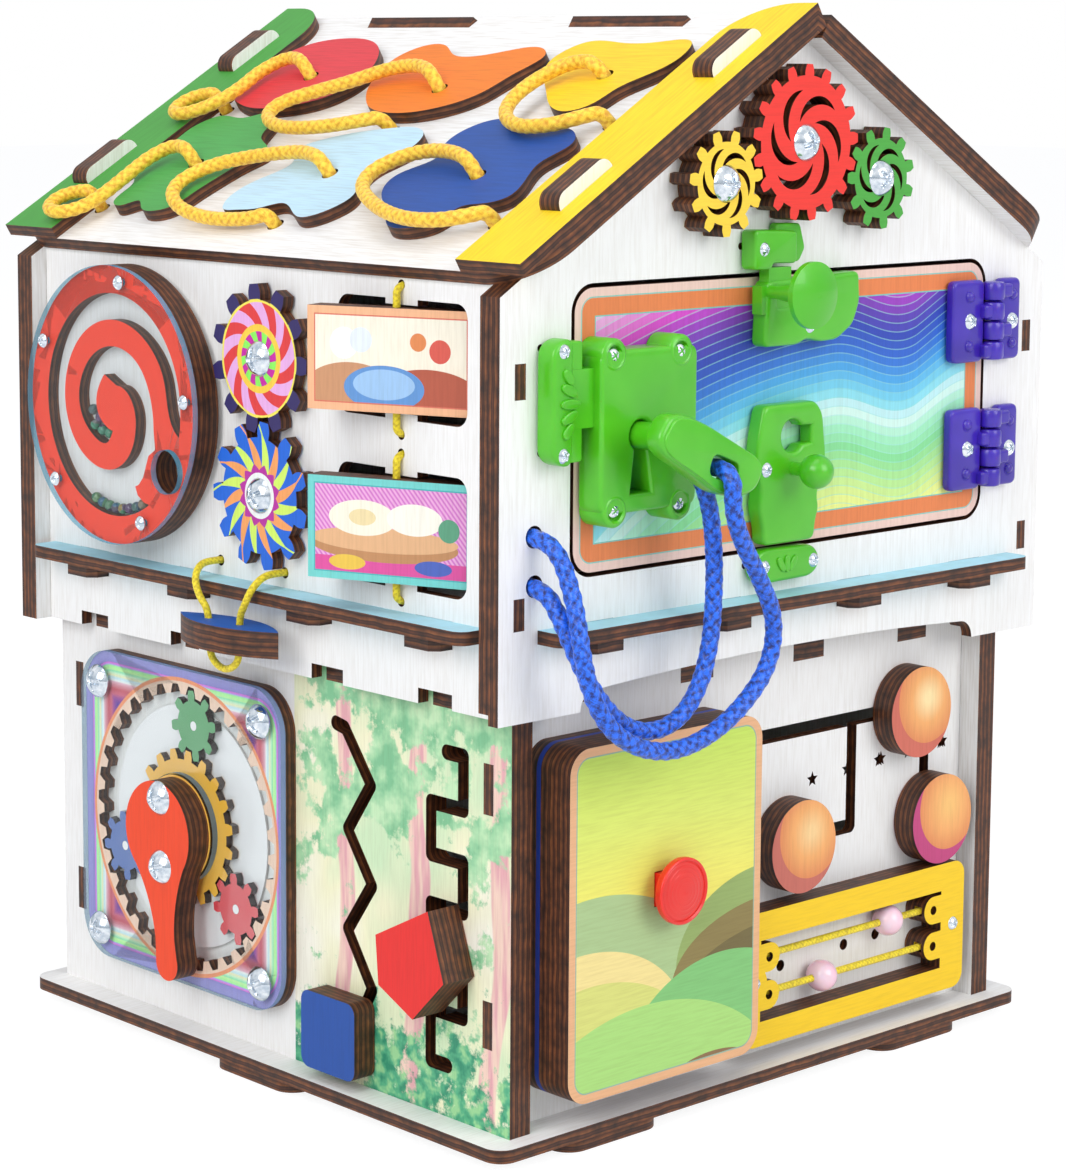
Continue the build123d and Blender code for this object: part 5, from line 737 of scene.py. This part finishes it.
def forest_print(add, place):
    """Noise clouds of leaf green by height, with slanting trunks where a warped wave in Y is high."""
    noises = []
    for scale, detail, rough in ((22.0, 2.0, 0.5), (46.0, 6.0, 0.62), (150.0, 3.0, 0.5), (14.0, 2.0, 0.5),
                                 (64.0, 8.0, 0.7), (260.0, 2.0, 0.5)):
        noises.append(add("TexNoise", {"Vector": place, "Scale": scale, "Detail": detail,
                                       "Roughness": rough}))
    wash, leaf, mottle, bend, bough, needle = noises
    y, z = add("SeparateXYZ", place, take="YZ")
    height = add("Math.MULTIPLY", z, 1 / (130 * mm))
    light = add("ValToRGB", wash, stops=((0.35, "#cfe9bf"), (0.5, "#f4f2cc"), (0.62, "#fbf8e8")))
    crown = add("Math.ADD", leaf, add("Math.MULTIPLY", height, 0.32))
    crown = add("ValToRGB", crown, stops=((0.73, "#000000"), (0.77, "#ffffff")))
    leaf_tone = add("ValToRGB", mottle, stops=((0.35, "#7fc291"), (0.5, "#a2d8a6"), (0.65, "#c6eabb")))
    bend = add("Math.MULTIPLY", bend, 22 * mm)
    stem = add("Math.SINE", add("Math.MULTIPLY", add("Math.ADD", y, bend), 190.0))
    trunk = add("ValToRGB", stem, stops=((0.72, "#000000"), (0.80, "#ffffff")))
    stretched = add("VectorMath.MULTIPLY", place, (1, 1, 0.1))
    bark = add("ValToRGB", add("TexNoise", {"Vector": stretched, "Scale": 420.0}),
               stops=((0.4, "#e6aab0"), (0.6, "#f5d3c2")))
    colour = add("MixRGB", crown, add("MixRGB", trunk, light, bark), leaf_tone)
    low = add("Math.MULTIPLY", add("Math.SUBTRACT", 0.40, height), 0.75)
    bough = add("ValToRGB", add("Math.ADD", bough, low),
                stops=((0.62, "#000000"), (0.68, "#ffffff")))
    needle = add("ValToRGB", needle, stops=((0.35, "#2e8f6c"), (0.5, "#55b284"), (0.65, "#9cd698")))
    return over(add, white_paint, y, [(forest_edge, add("MixRGB", bough, colour, needle))])


dress("lower_wall_left", plywood("forest_printed_ply_wall", left_face, 100.5 * mm, forest_print))

# Discs on the front path: orange prints that glow yellow towards the upper right and pink at the rim.
disc_back, disc_r = 102.4 * mm, 14.7 * mm
for number, (x, z, rim, heart) in enumerate(((70.9, 108.0, "#cf6a58", "#fbe0a6"),
                                             (82.6, 71.0, "#bf3f78", "#f6c072"),
                                             (15.4, 73.2, "#c56a5c", "#f9d092")), start=1):
    def glow_print(add, place, x=x, z=z, rim=rim, heart=heart):
        """Distance from a point right and above the middle, in disc radii, read off a warm ramp."""
        far = hypotenuse(add, *from_middle(add, place, "XZ", ((x + 3.4) * mm, (z + 4.2) * mm)))
        return add("ValToRGB", add("Math.MULTIPLY", far, 1 / disc_r),
                   stops=((0.12, heart), (0.55, "#f2ac68"), (1.0, "#e08a54"), (1.35, rim)))
    dress(f"face_disc_{number}", plywood(f"orange_printed_ply_disc_{number}", front_face, disc_back,
                                         glow_print))

# Abacus: yellow painted frame of two layers; its beads are pink plastic with a pearly sheen painted by the
# angle of view.
dress("abacus_frame", plywood("yellow_ply_abacus", front_face, 102.1 * mm, "#f8cd10", grain_along_x))
bead_plastic_painted_sheen, add = fresh("pink_plastic_beads_painted_sheen", Roughness=0.22, Coat_Weight=0.6, Subsurface_Weight=0.25,
                   Subsurface_Scale=0.002)
# Painted sheen: paler where a bead faces the camera, palest at its rim, deeper pink between.
finish(bead_plastic_painted_sheen, add("ValToRGB", *add("LayerWeight", 0.4, take=["Facing"]),
                  stops=((0.0, "#fbdbe7"), (0.5, "#f3c3d6"), (1.0, "#fbe9f6"))))
dress("bead_upper", bead_plastic_painted_sheen)
dress("bead_lower", bead_plastic_painted_sheen)

# Button box: burnt layers with one blue sheet between them, and a printed front: a peach border, a
# lime field and curved hills.
box_middle, box_half, box_corner = (-55.5 * mm, 69.2 * mm), (40.1 * mm, 52.25 * mm), 7.5 * mm
sheet_middle, sheet_half = 107.1 * mm, 0.85


def box_edge(add, place, depth):
    """Burnt veneers, but royal blue where the depth from the wall is inside the blue sheet."""
    y, = add("SeparateXYZ", place, take="Y")
    from_sheet = add("Math.ABSOLUTE", add("Math.ADD", y, sheet_middle))
    return over(add, burnt_edge(add, place, depth), from_sheet, [(sheet_half, "#1239a8")])


def meadow_print(add, place):
    """Lime sky that warms downwards, then ellipses for hills, laid over each other from far to near."""
    across, up = from_middle(add, place, "XZ", box_middle)
    colour = add("ValToRGB", add("Math.MULTIPLY_ADD", up, 1 / (2 * box_half[1]), 0.5), stops=(
        (0.35, "#f3d95a"), (0.55, "#eee66a"), (0.75, "#d9e56c"), (0.97, "#c3df5c")))
    colour = layered(add, colour, across, up, (
        ((-30, -46), (62, 54), "#a9c48a"), ((44, -20), (40, 26), "#93ab62"),
        ((46, -26), (44, 22), "#8a7a45"), ((50, -32), (46, 20), "#6f6236"),
        ((-34, -42), (44, 34), "#f0dc92"), ((-30, -52), (46, 34), "#d6d878"),
        ((24, -52), (44, 34), "#7fc274"), ((-8, -70), (60, 42), "#a8d878"),
        ((20, -66), (30, 18), "#8b6a45"), ((26, -67), (28, 17), "#a07c55"),
        ((32, -68), (26, 16), "#7c5c3c"), ((38, -69), (24, 15), "#b08a62"),
        ((-2, -70), (18, 14), "#cdb89a")))
    return over(add, colour, rim_inset(add, across, up, box_half, box_corner),
                ((3.0, "#8fb2a0"), (2.6, "#e6b083")))


dress("button_box", plywood("meadow_printed_ply_box", front_face, 102.1 * mm, meadow_print,
                            grain_along_x, box_edge))

# Door: a printed double sheet with a pale rim, an orange frame and bands of rainbow colour that arch
# over the lower right corner, round a centre that counts from the middle of the door.
door_middle, door_half, door_corner = (-1.0 * mm, 211.65 * mm), (90.5 * mm, 40.45 * mm), 7.0 * mm
band_centre, band_step = (36.0 * mm, -92.0 * mm), 2.7 * mm


def arch_print(add, place):
    """Bands of equal distance from a centre below the door, with its width shrunk to 0.62, plus a sine of
    96 mm on the right; each band takes one colour of the ramp, with a thin pale line between two."""
    across, up = from_middle(add, place, "XZ", door_middle)
    off_x = add("Math.MULTIPLY", add("Math.SUBTRACT", across, band_centre[0]), 0.62)
    far = hypotenuse(add, off_x, add("Math.SUBTRACT", up, band_centre[1]))
    past = add("Math.MAXIMUM", add("Math.SUBTRACT", across, 18 * mm), 0.0)
    wave = add("Math.SINE", add("Math.MULTIPLY", past, 2 * math.pi / (96 * mm)))
    swell = add("MapRange", past, 0.0, 40 * mm, 0.0, 9 * mm)
    far = add("Math.ADD", far, add("Math.MULTIPLY", wave, swell))
    steps = add("Math.MULTIPLY", far, 1 / band_step)
    whole = add("Math.MULTIPLY", add("Math.FLOOR", steps), band_step)
    colour = add("ValToRGB", add("MapRange", whole, 52 * mm, 152 * mm, 0.0, 1.0), stops=(
        (0.0, "#f2f08a"), (0.10, "#e6f08c"), (0.18, "#b8e890"), (0.26, "#86dc94"), (0.33, "#a6ecc4"),
        (0.38, "#d8f4ee"), (0.43, "#7fd8e8"), (0.50, "#4aa8e4"), (0.57, "#2a6ad0"), (0.64, "#2a45b4"),
        (0.70, "#5a3ab0"), (0.76, "#a23ac0"), (0.81, "#dc48c8"), (0.86, "#e48ad4"), (0.92, "#ecc4e4"),
        (1.0, "#cfc4ec")))
    line = add("Math.LESS_THAN", add("Math.FRACT", steps), 0.13)
    colour = add("MixRGB", add("Math.MULTIPLY", line, 0.45), colour, "#9ce0d8")
    return over(add, colour, rim_inset(add, across, up, door_half, door_corner),
                ((8.3, "#7cc4b8"), (7.9, "#e6824a"), (2.9, "#8cc8bc"), (2.5, "#eccabd")))


dress("door_panel", plywood("arch_printed_ply_door", front_face, 108.1 * mm, arch_print))


# Moulded plastic: the lime-green lock, latches, keepers and key, the purple hinges and the red button
# are glossy injection mouldings, a little translucent, with slightly paler thin edges.
def moulded(name, colour, pale, roughness=0.32):
    """Injection-moulded plastic: soft gloss, faint flow clouds, a little light inside."""
    material, add = fresh(name, Roughness=roughness, Coat_Weight=0.25, Subsurface_Weight=0.2,
                          Subsurface_Scale=0.004)
    place, = add("TexCoord", take=["Object"])
    flow = add("TexNoise", {"Vector": place, "Scale": 55.0, "Detail": 2.0})
    grit = add("TexNoise", {"Vector": place, "Scale": 2600.0})
    return finish(material, add("ValToRGB", flow, stops=((0.35, colour), (0.75, pale))), grit, 0.06, 0.1 * mm)


lime = moulded("lime_moulded_plastic", "#4cb714", "#5ac422")
for label in ("lock_bolt", "top_latch_bolt", "bottom_latch_bolt"):
    dress(label, lime)
purple = moulded("purple_moulded_plastic", "#33199a", "#4326b4", 0.3)


def rounded(corners, radius, steps=7):
    """The outline with each corner replaced by the curve (1-t)^2 A + 2t(1-t) P + t^2 B between two points
    that lie `radius` from the corner, or half a side where that is less."""
    points = []
    for before, corner, after in zip(np.roll(corners, 1, axis=0), np.array(corners, float),
                                     np.roll(corners, -1, axis=0)):
        ends = []
        for other in (before, after):
            side = other - corner
            span = np.linalg.norm(side)
            ends.append(corner + side / span * min(radius, span / 2))
        t = np.linspace(0, 1, steps)[:, None]
        points += list((1 - t) ** 2 * ends[0] + 2 * t * (1 - t) * corner + t ** 2 * ends[1])
    return np.array(points)


def place_piece(piece, body, node, material):
    """Give a new piece its material, the body that it moves with and the CAD node that it stands for."""
    piece.data.materials.append(material)
    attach(piece, body)
    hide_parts(node)


def moulding(name, body, node, material, outline, back, front, soften, holes=()):
    """A moulded plate between two depths, given in millimetres: a filled outline, extruded and rounded at
    its rims by `soften`, with holes. It is drawn flat and then turned to face the front."""
    curve = bpy.data.curves.new(name, "CURVE")
    curve.dimensions = "2D"
    curve.fill_mode = "BOTH"
    curve.extrude = (abs(front - back) / 2 - soften) * mm
    curve.bevel_depth = soften * mm
    curve.bevel_resolution = 3
    curve.offset = -soften * mm
    for points, way in [(outline, 1)] + [(hole, -1) for hole in holes]:
        area = np.sum(points[:, 0] * np.roll(points[:, 1], -1) - points[:, 1] * np.roll(points[:, 0], -1))
        points = points[::-1] if area * way < 0 else points
        spline = curve.splines.new("POLY")
        spline.points.add(len(points) - 1)
        flat = np.ones((len(points), 4))
        flat[:, :2] = points * mm
        flat[:, 2] = 0
        spline.points.foreach_set("co", flat.ravel())
        spline.use_cyclic_u = True
    holder = bpy.data.objects.new(name, curve)
    scene.collection.objects.link(holder)
    mesh = bpy.data.meshes.new_from_object(holder)
    bpy.data.objects.remove(holder)
    bpy.data.curves.remove(curve)
    flat = np.empty(len(mesh.vertices) * 3)
    mesh.vertices.foreach_get("co", flat)
    flat = flat.reshape(-1, 3)
    placed = np.stack([flat[:, 0], (front + back) / 2 * mm - flat[:, 2], flat[:, 1]], axis=1)
    mesh.vertices.foreach_set("co", placed.ravel())
    welded = bmesh.new()
    welded.from_mesh(mesh)
    bmesh.ops.remove_doubles(welded, verts=welded.verts, dist=0.005 * mm)
    welded.to_mesh(mesh)
    welded.free()
    mesh.materials.clear()
    mesh.shade_smooth()
    mesh.set_sharp_from_angle(angle=math.radians(28))
    piece = bpy.data.objects.new(name, mesh)
    scene.collection.objects.link(piece)
    place_piece(piece, body, node, material)
    return piece


def turned(name, body, node, material, centre, profile, axis="front"):
    """A turned piece: radius and depth pairs go round an axis that looks to the front (depth is Y) or up
    (depth is Z). centre is the place of the axis, in millimetres."""
    turns = np.linspace(0, 2 * np.pi, 40, endpoint=False)
    profile = np.array(profile, float)
    one, two = profile[:, :1] * np.cos(turns), profile[:, :1] * np.sin(turns)
    depth = np.repeat(profile[:, 1:], len(turns), axis=1)
    if axis == "front":
        grid = np.stack([centre[0] + one, depth, centre[1] + two], axis=-1)
    else:
        grid = np.stack([centre[0] + one, centre[1] - two, depth], axis=-1)[::-1]
    piece = skin(name, grid * mm)
    piece.data.set_sharp_from_angle(angle=math.radians(40))
    place_piece(piece, body, node, material)
    return piece


def arc(centre, radius, first, last, count):
    """Points on a circle between two angles in degrees."""
    return [(centre[0] + radius * math.cos(a), centre[1] + radius * math.sin(a))
            for a in np.radians(np.linspace(first, last, count))]


def embossed_leaf(name, centre, half_l, half_w, lean, front, high, soften):
    """A leaf that stands out of a keeper: sine curves above and below a middle line that leans."""
    t = np.linspace(0, np.pi, 12)
    one, two = (np.stack([way * half_l * np.cos(k), -way * half_w * np.sin(k) ** 0.8], axis=1)
                for way, k in ((-1, t), (1, t[1:-1])))
    a = math.radians(lean)
    blade = np.concatenate([one, two]) @ np.array([[math.cos(a), math.sin(a)], [-math.sin(a), math.cos(a)]])
    moulding(name, "house", "keepers", lime, blade + centre, front, high, soften)


# Lock: a lime case on the door, with lobes round its four screws and a keyhole with a foot. Beside it,
# on the wall, stands the keeper with five embossed leaves and a thinner flange towards the case.
door_y, lock_front = -116.1, -126.0
key_x, key_z = -74.4, 210.6
lock_screws = ((-85.2, 233.7), (-58.5, 233.4), (-84.6, 189.9), (-58.5, 189.7))
keyhole = np.array(arc((key_x, key_z), 4.3, -60, 240, 31) + [(key_x - 3.9, 194.0), (key_x + 4.4, 194.0)])
moulding("lock_case_shell", "door", "lock_case", lime,
         rounded([(-90.4, 188.8), (-51.6, 188.8), (-51.6, 235.2), (-90.4, 235.2)], 3.5),
         door_y - 0.3, lock_front, 1.3, holes=[keyhole])
for number, (x, z) in enumerate(lock_screws):
    turned(f"lock_lobe_{number}", "door", "lock_case", lime, (x, z),
           [(4.9, door_y - 0.3), (4.9, lock_front + 0.7), (4.5, lock_front + 0.1), (3.6, lock_front - 0.2),
            (3.0, lock_front + 0.1), (2.8, lock_front + 1.3)])
keeper_y, keeper_front = -116.4, -123.6
moulding("lock_keeper_body", "house", "keepers", lime,
         rounded([(-106.6, 205.0), (-98.8, 202.6), (-98.8, 240.0), (-106.6, 237.6)], 4.0),
         keeper_y, keeper_front, 1.3)
moulding("lock_keeper_flange", "house", "keepers", lime,
         rounded([(-100.5, 204.4), (-94.6, 204.4), (-94.6, 238.3), (-100.5, 238.3)], 1.2),
         keeper_y, keeper_front + 0.9, 0.5)
for number, (z, half_l, lean) in enumerate(((228.6, 2.6, -52), (224.8, 3.2, -25), (221.0, 3.6, 0),
                                            (217.3, 3.2, 25), (213.5, 2.6, 52))):
    embossed_leaf(f"keeper_leaf_{number}", (-100.4 - 0.1 * abs(z - 221), z), half_l, 1.5, lean,
                  keeper_front + 1.5, keeper_front - 0.9, 0.5)

# Key: a round shaft and a flat bow that leans down to the right, with the rope's loop through its eye.
bow_lean, bow_back, bow_front = math.radians(-21.3), -138.6, -145.2
lean_turn = np.array([[math.cos(bow_lean), math.sin(bow_lean)], [-math.sin(bow_lean), math.cos(bow_lean)]])
bow = rounded([(-12.5, -3.5), (-10.5, 4.5), (-4, 6.6), (6, 6.4), (29, 3.9), (32.5, 1.4), (31.5, -5.4),
               (25, -9.4), (15.8, -10.6), (6, -8.6), (-8, -6.6)], 3.0)
eye = rounded([(9.9, -0.2), (9.9, -6.8), (21.7, -6.8), (21.7, -0.2)], 2.8)
bow_rim, eye_rim = bow * 0.93 + (0.9, -0.1), eye * 0.98 + (0.3, -0.1)
for name, outline, hole, back, front, soften in (
        ("key_bow", bow, eye, bow_back, bow_front, 1.5),
        ("key_bow_rim", bow_rim, eye_rim, bow_back + 1, bow_front - 0.5, 0.5)):
    moulding(name, "door_key", "key", lime, outline @ lean_turn + (key_x, key_z), back, front, soften,
             holes=[hole @ lean_turn + (key_x, key_z)])
turned("key_shaft", "door_key", "key", lime, (key_x, key_z),
       [(3.7, -117.2), (3.9, -118.0), (3.9, -136.6), (4.6, -137.8), (5.4, -139.4), (4.0, -141.0)])

# Latches: a stepped case with a round lower right corner at the top, and a shield-shaped one with a
# keyhole-like slot at the bottom. Each has a keeper on the wall; the lower keeper shows three leaves.
latch_front = -122.5
moulding("top_latch_case", "door", "latch_cases", lime,
         rounded([(-19.6, 231.7), (-4.8, 231.7), (-0.6, 233.4), (5.5, 232.0), (13.0, 232.3), (20.0, 236.5),
                  (22.9, 243.5), (22.2, 252.6), (-18.6, 251.2)], 2.2), door_y - 0.3, latch_front, 1.3,
         holes=[rounded([(-14.2, 243.2), (-4.0, 243.2), (-4.0, 247.6), (-14.2, 247.6)], 1.2)])
bottom_front = -122.0
moulding("bottom_latch_case", "door", "latch_cases", lime,
         rounded([(-18.0, 172.4), (4.4, 172.4), (5.2, 178.5), (6.6, 181.8), (5.4, 186.2), (7.8, 190.5),
                  (9.4, 197.0), (8.4, 204.0), (7.6, 210.5), (4.4, 214.4), (-18.6, 214.4), (-21.0, 204.5),
                  (-21.6, 196.5), (-19.4, 189.5), (-20.4, 184.0), (-18.6, 178.5)], 2.4),
         door_y - 0.3, bottom_front, 1.3,
         holes=[np.array(arc((-5.8, 204.5), 4.9, 35, 325, 30) + [(2.4, 202.0), (2.4, 207.2)])])
moulding("top_latch_keeper", "house", "keepers", lime,
         rounded([(-24.4, 254.6), (-16.8, 254.6), (-16.2, 256.4), (-6.0, 256.0), (-6.0, 265.6),
                  (-15.0, 266.2), (-24.4, 266.4)], 1.6), keeper_y, latch_front, 1.0)
moulding("top_keeper_plate", "house", "keepers", lime,
         rounded([(-13.0, 256.6), (-1.8, 256.2), (0.8, 260.2), (-1.6, 267.6), (-12.0, 268.0)], 1.2),
         keeper_y, -119.4, 0.6)
moulding("bottom_latch_keeper", "house", "keepers", lime,
         rounded([(-19.0, 160.6), (5.6, 161.0), (9.0, 165.6), (5.6, 170.8), (-18.4, 171.2),
                  (-21.8, 166.2)], 4.0), keeper_y, -121.0, 1.3)
for number, (shift, lean) in enumerate(((-2.6, 125), (0.0, 90), (2.6, 55))):
    embossed_leaf(f"lower_keeper_leaf_{number}", (-7.0 + shift, 166.0), 2.6, 1.2, lean, -120.0, -121.7, 0.4)

# Hinges: two purple leaves each with studs that look like rivets, joined by four rounded knuckles.
pin_x, pin_y, knuckle_r, knuckle_gap = 90.0, -119.9, 3.7, 0.35
for place, (z0, z1) in (("upper", (220.8, 246.8)), ("lower", (180.2, 206.2))):
    for label, body, node, x0, x1, knuckles in (("door", "door", "hinge_leaves_door", 70.6, 86.0, (0, 2)),
                                                ("wall", "house", "hinge_leaves_wall", 94.0, 104.2, (1, 3))):
        moulding(f"hinge_{place}_{label}_leaf", body, node, purple,
                 rounded([(x0, z0), (x1, z0), (x1, z1), (x0, z1)], 2.6), -116.4, -119.8, 1.0)
        for number, z in enumerate((z0 + 5.2, z1 - 5.2)):
            turned(f"hinge_{place}_{label}_stud_{number}", body, node, purple,
                   ((x0 + x1) / 2 + (0.4 if label == "door" else 1.0), z),
                   [(2.3, -119.2), (2.2, -119.9), (1.7, -119.8), (1.5, -120.2), (1.1, -120.7), (0.5, -120.9)])
        for k in knuckles:
            step = (z1 - z0 - 0.8) / 4
            low = z0 + 0.4 + k * step
            high = low + step - knuckle_gap
            turned(f"hinge_{place}_{label}_knuckle_{k}", body, node, purple, (pin_x, pin_y),
                   [(knuckle_r - 1.2, low), (knuckle_r - 0.3, low + 0.35), (knuckle_r, low + 1.2),
                    (knuckle_r, high - 1.2), (knuckle_r - 0.3, high - 0.35), (knuckle_r - 1.2, high)],
                   axis="up")
            a0, a1 = (pin_x - 6.0, pin_x) if label == "door" else (pin_x, pin_x + 7.5)
            moulding(f"hinge_{place}_{label}_arm_{k}", body, node, purple,
                     rounded([(a0, low + 0.8), (a1, low + 0.8), (a1, high - 0.8), (a0, high - 0.8)], 1.2),
                     -116.5, -122.2, 0.9)

# Red button: a mushroom head with concentric turning rings on a square stem, moulded in red. Its profile
# goes from the back over the rounded rim, and then inwards over the dished front.
stem_x, stem_z = -55.8, 75.3
button_r, button_back, button_front = 10.0, -124.4, -127.8
rim_r, dish_r, dish_y, dish_deep = 1.2, 9.0, -126.9, 0.9
ring_count, ring_depth = 6.4849, 0.16
share = np.linspace(0, 1, 45)
rings = ring_depth * (0.5 - 0.5 * np.cos(2 * np.pi * ring_count * share)) * (share > 0.06)
dish = button_front + dish_deep * share ** 2.4 + rings
profile = [(8.7, button_back)]
profile += [(button_r - rim_r + rim_r * math.sin(a), button_back - rim_r + rim_r * math.cos(a))
            for a in np.linspace(0, math.pi / 2, 7)]
profile += [(dish_r + (button_r - dish_r) * math.cos(a), dish_y - 0.6 * math.sin(a))
            for a in np.linspace(0, 1.3, 6)]
profile += list(zip(dish_r * share[:0:-1], dish[:0:-1]))
profile = np.array(profile) * mm
angle = np.linspace(0, 2 * np.pi, 96, endpoint=False)
head = np.stack([stem_x * mm + profile[:, :1] * np.cos(angle),
                 np.repeat(profile[:, 1:], len(angle), axis=1),
                 stem_z * mm + profile[:, :1] * np.sin(angle)], axis=-1)
red_plastic = moulded("red_moulded_plastic", "#e81c12", "#f0281a", 0.35)
button_head = skin("button_head", head)
button_head.data.materials.append(red_plastic)
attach(button_head, "button")
dress("red_button", red_plastic)

# Return spring: 3.5 turns of 0.9 mm steel wire behind the button, hidden in the box.
spring_r, spring_wire, spring_turns, spring_y0, spring_y1 = 7.9, 0.9, 3.5, -113.75, -106.65
spring_place = np.linspace(0, 1, 56)
spring_route = np.stack([stem_x + spring_r * np.cos(2 * np.pi * spring_turns * spring_place),
                         spring_y0 + (spring_y1 - spring_y0) * spring_place,
                         stem_z + spring_r * np.sin(2 * np.pi * spring_turns * spring_place)], axis=1)
wire_line, _, wire_side, wire_other = spaced_line(spring_route.tolist(), 0.5 * mm)
wire_angle = np.linspace(0, 2 * np.pi, 12, endpoint=False)
wire = wire_line[:, None] + spring_wire / 2 * mm * (np.cos(wire_angle)[None, :, None] * wire_side[:, None]
                                                    + np.sin(wire_angle)[None, :, None] * wire_other[:, None])
spring = skin("return_spring_wire", wire)
steel, add = fresh("spring_steel_wire", Metallic=1.0, Roughness=0.3)
place, = add("TexCoord", take=["Object"])
drawn = add("TexNoise", {"Vector": place, "Scale": 700.0})
finish(steel, add("ValToRGB", drawn, stops=((0.3, "#9c9ea2"), (0.7, "#c4c6ca"))))
place_piece(spring, "house", "return_spring", steel)
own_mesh(spring)

# Screws: zinc-plated steel with crowned heads and cross recesses. The large ones are 11 mm across and
# hold the gears; the small ones are 4.5 mm and hold the locks, hinges, abacus and the maze's cover.
zinc, add = fresh("zinc_plated_steel", Metallic=1.0, Roughness=0.16)
place, = add("TexCoord", take=["Object"])
plating = add("TexNoise", {"Vector": place, "Scale": 500.0})
finish(zinc, add("ValToRGB", plating, stops=((0.3, "#b9c6d4"), (0.7, "#e8edf2"))))


def screw_heads(name, node, body, groups):
    """Heads as height fields on rings and spokes: a crowned cap, less a cross whose arms end at 0.55 of
    the radius. groups holds (places, head radius, head height, the direction that they look in)."""
    turns = np.linspace(0, 2 * np.pi, 64, endpoint=False)
    pieces = []
    for places, head_r, head_h, out in groups:
        rings = np.concatenate([[1.0, 1.0], np.linspace(0.985, 0.02, 30)])
        bulge = (head_r ** 2 + head_h ** 2) / (2 * head_h)
        flat = rings[:, None] * head_r
        high = np.sqrt(bulge ** 2 - flat ** 2) - bulge + head_h
        high[0] = -0.4
        sides = flat * np.cos(turns), flat * np.sin(turns)
        narrow = np.minimum(np.abs(sides[0]), np.abs(sides[1]))
        slot_w = 0.115 * head_r
        cut = np.clip((slot_w - narrow) / (0.5 * slot_w) + 0.5, 0, 1)
        cut *= np.clip((0.55 * head_r - flat) / (0.2 * head_r) + 0.5, 0, 1)
        high = high - 0.45 * head_h * cut
        for place, turn in places:
            a = math.radians(turn)
            across = sides[0] * math.cos(a) - sides[1] * math.sin(a)
            up = sides[0] * math.sin(a) + sides[1] * math.cos(a)
            if out == "front":
                grid = np.stack([place[0] + across, place[1] - high, place[2] + up], axis=-1)
            else:
                grid = np.stack([place[0] - high, place[1] - across, place[2] + up], axis=-1)
            pieces.append(skin(name, grid * mm))
    with bpy.context.temp_override(active_object=pieces[0], selected_editable_objects=pieces):
        if len(pieces) > 1:
            bpy.ops.object.join()
    whole = pieces[0]
    whole.name = name
    place_piece(whole, body, node, zinc)


ring_screws = ((81.6, 113.7), (-2.2, 113.7), (81.6, 31.0), (-2.2, 31.0))
gear_centres = ((-5.2, 291.5), (28.81, 280.32), (-39.21, 280.32))
maze_middle, maze_screw_r = (58.0, 207.0), 39.3
screw_heads("wall_screw_heads", "screws", "house", (
    ([((x, -124.5, z), 20 + 31 * k) for k, (x, z) in enumerate(gear_centres)], 5.5, 3.2, "front"),
    ([((-119.1, cog_y, z), 12 + 20 * k) for k, z in enumerate((cog_high, cog_low))]
     + [((-114.6, y, z), 40 * k) for k, (y, z) in enumerate(ring_screws)], 5.5, 3.2, "left"),
    ([((x, -110.1, z), 15) for x, z in ((89.6, 34.7), (-5.9, 33.3))]
     + [((x, -123.3, z), 25) for x, z in ((-102.4, 235.6), (-102.4, 206.7))]
     + [((-20.4, -122.2, 260.6), 10)] + [((x, -120.8, 165.8), 10) for x in (-16.5, 5.2)], 2.3, 1.3, "front"),
    ([((100.1, -119.6, z), 30) for z in (233.0, 192.0)], 2.8, 1.7, "front")))
screw_heads("crank_screw_heads", "crank_screws", "sun", (
    ([((-123.2, y, z), 15) for y, z in ((37.3, 84.0), (36.7, 61.9))], 5.5, 3.2, "left"),))
screw_heads("door_screw_heads", "door_screws", "door", (
    ([((x, lock_front + 0.9, z), 35) for x, z in lock_screws]
     + [((0.2, latch_front + 0.2, 237.2), 20), ((-17.4, bottom_front + 0.2, 195.2), 20)], 2.4, 1.3, "front"),
    ([((79.2, -119.6, z), 40) for z in (233.8, 193.2)], 2.8, 1.7, "front")))
screw_heads("maze_screw_heads", "maze_screws", "maze", (
    ([((-126.4, *arc(maze_middle, maze_screw_r, a, a, 1)[0]), a) for a in (99.0, 27.0, 174.0, -42.0, -115.0)],
     2.3, 1.3, "left"),))
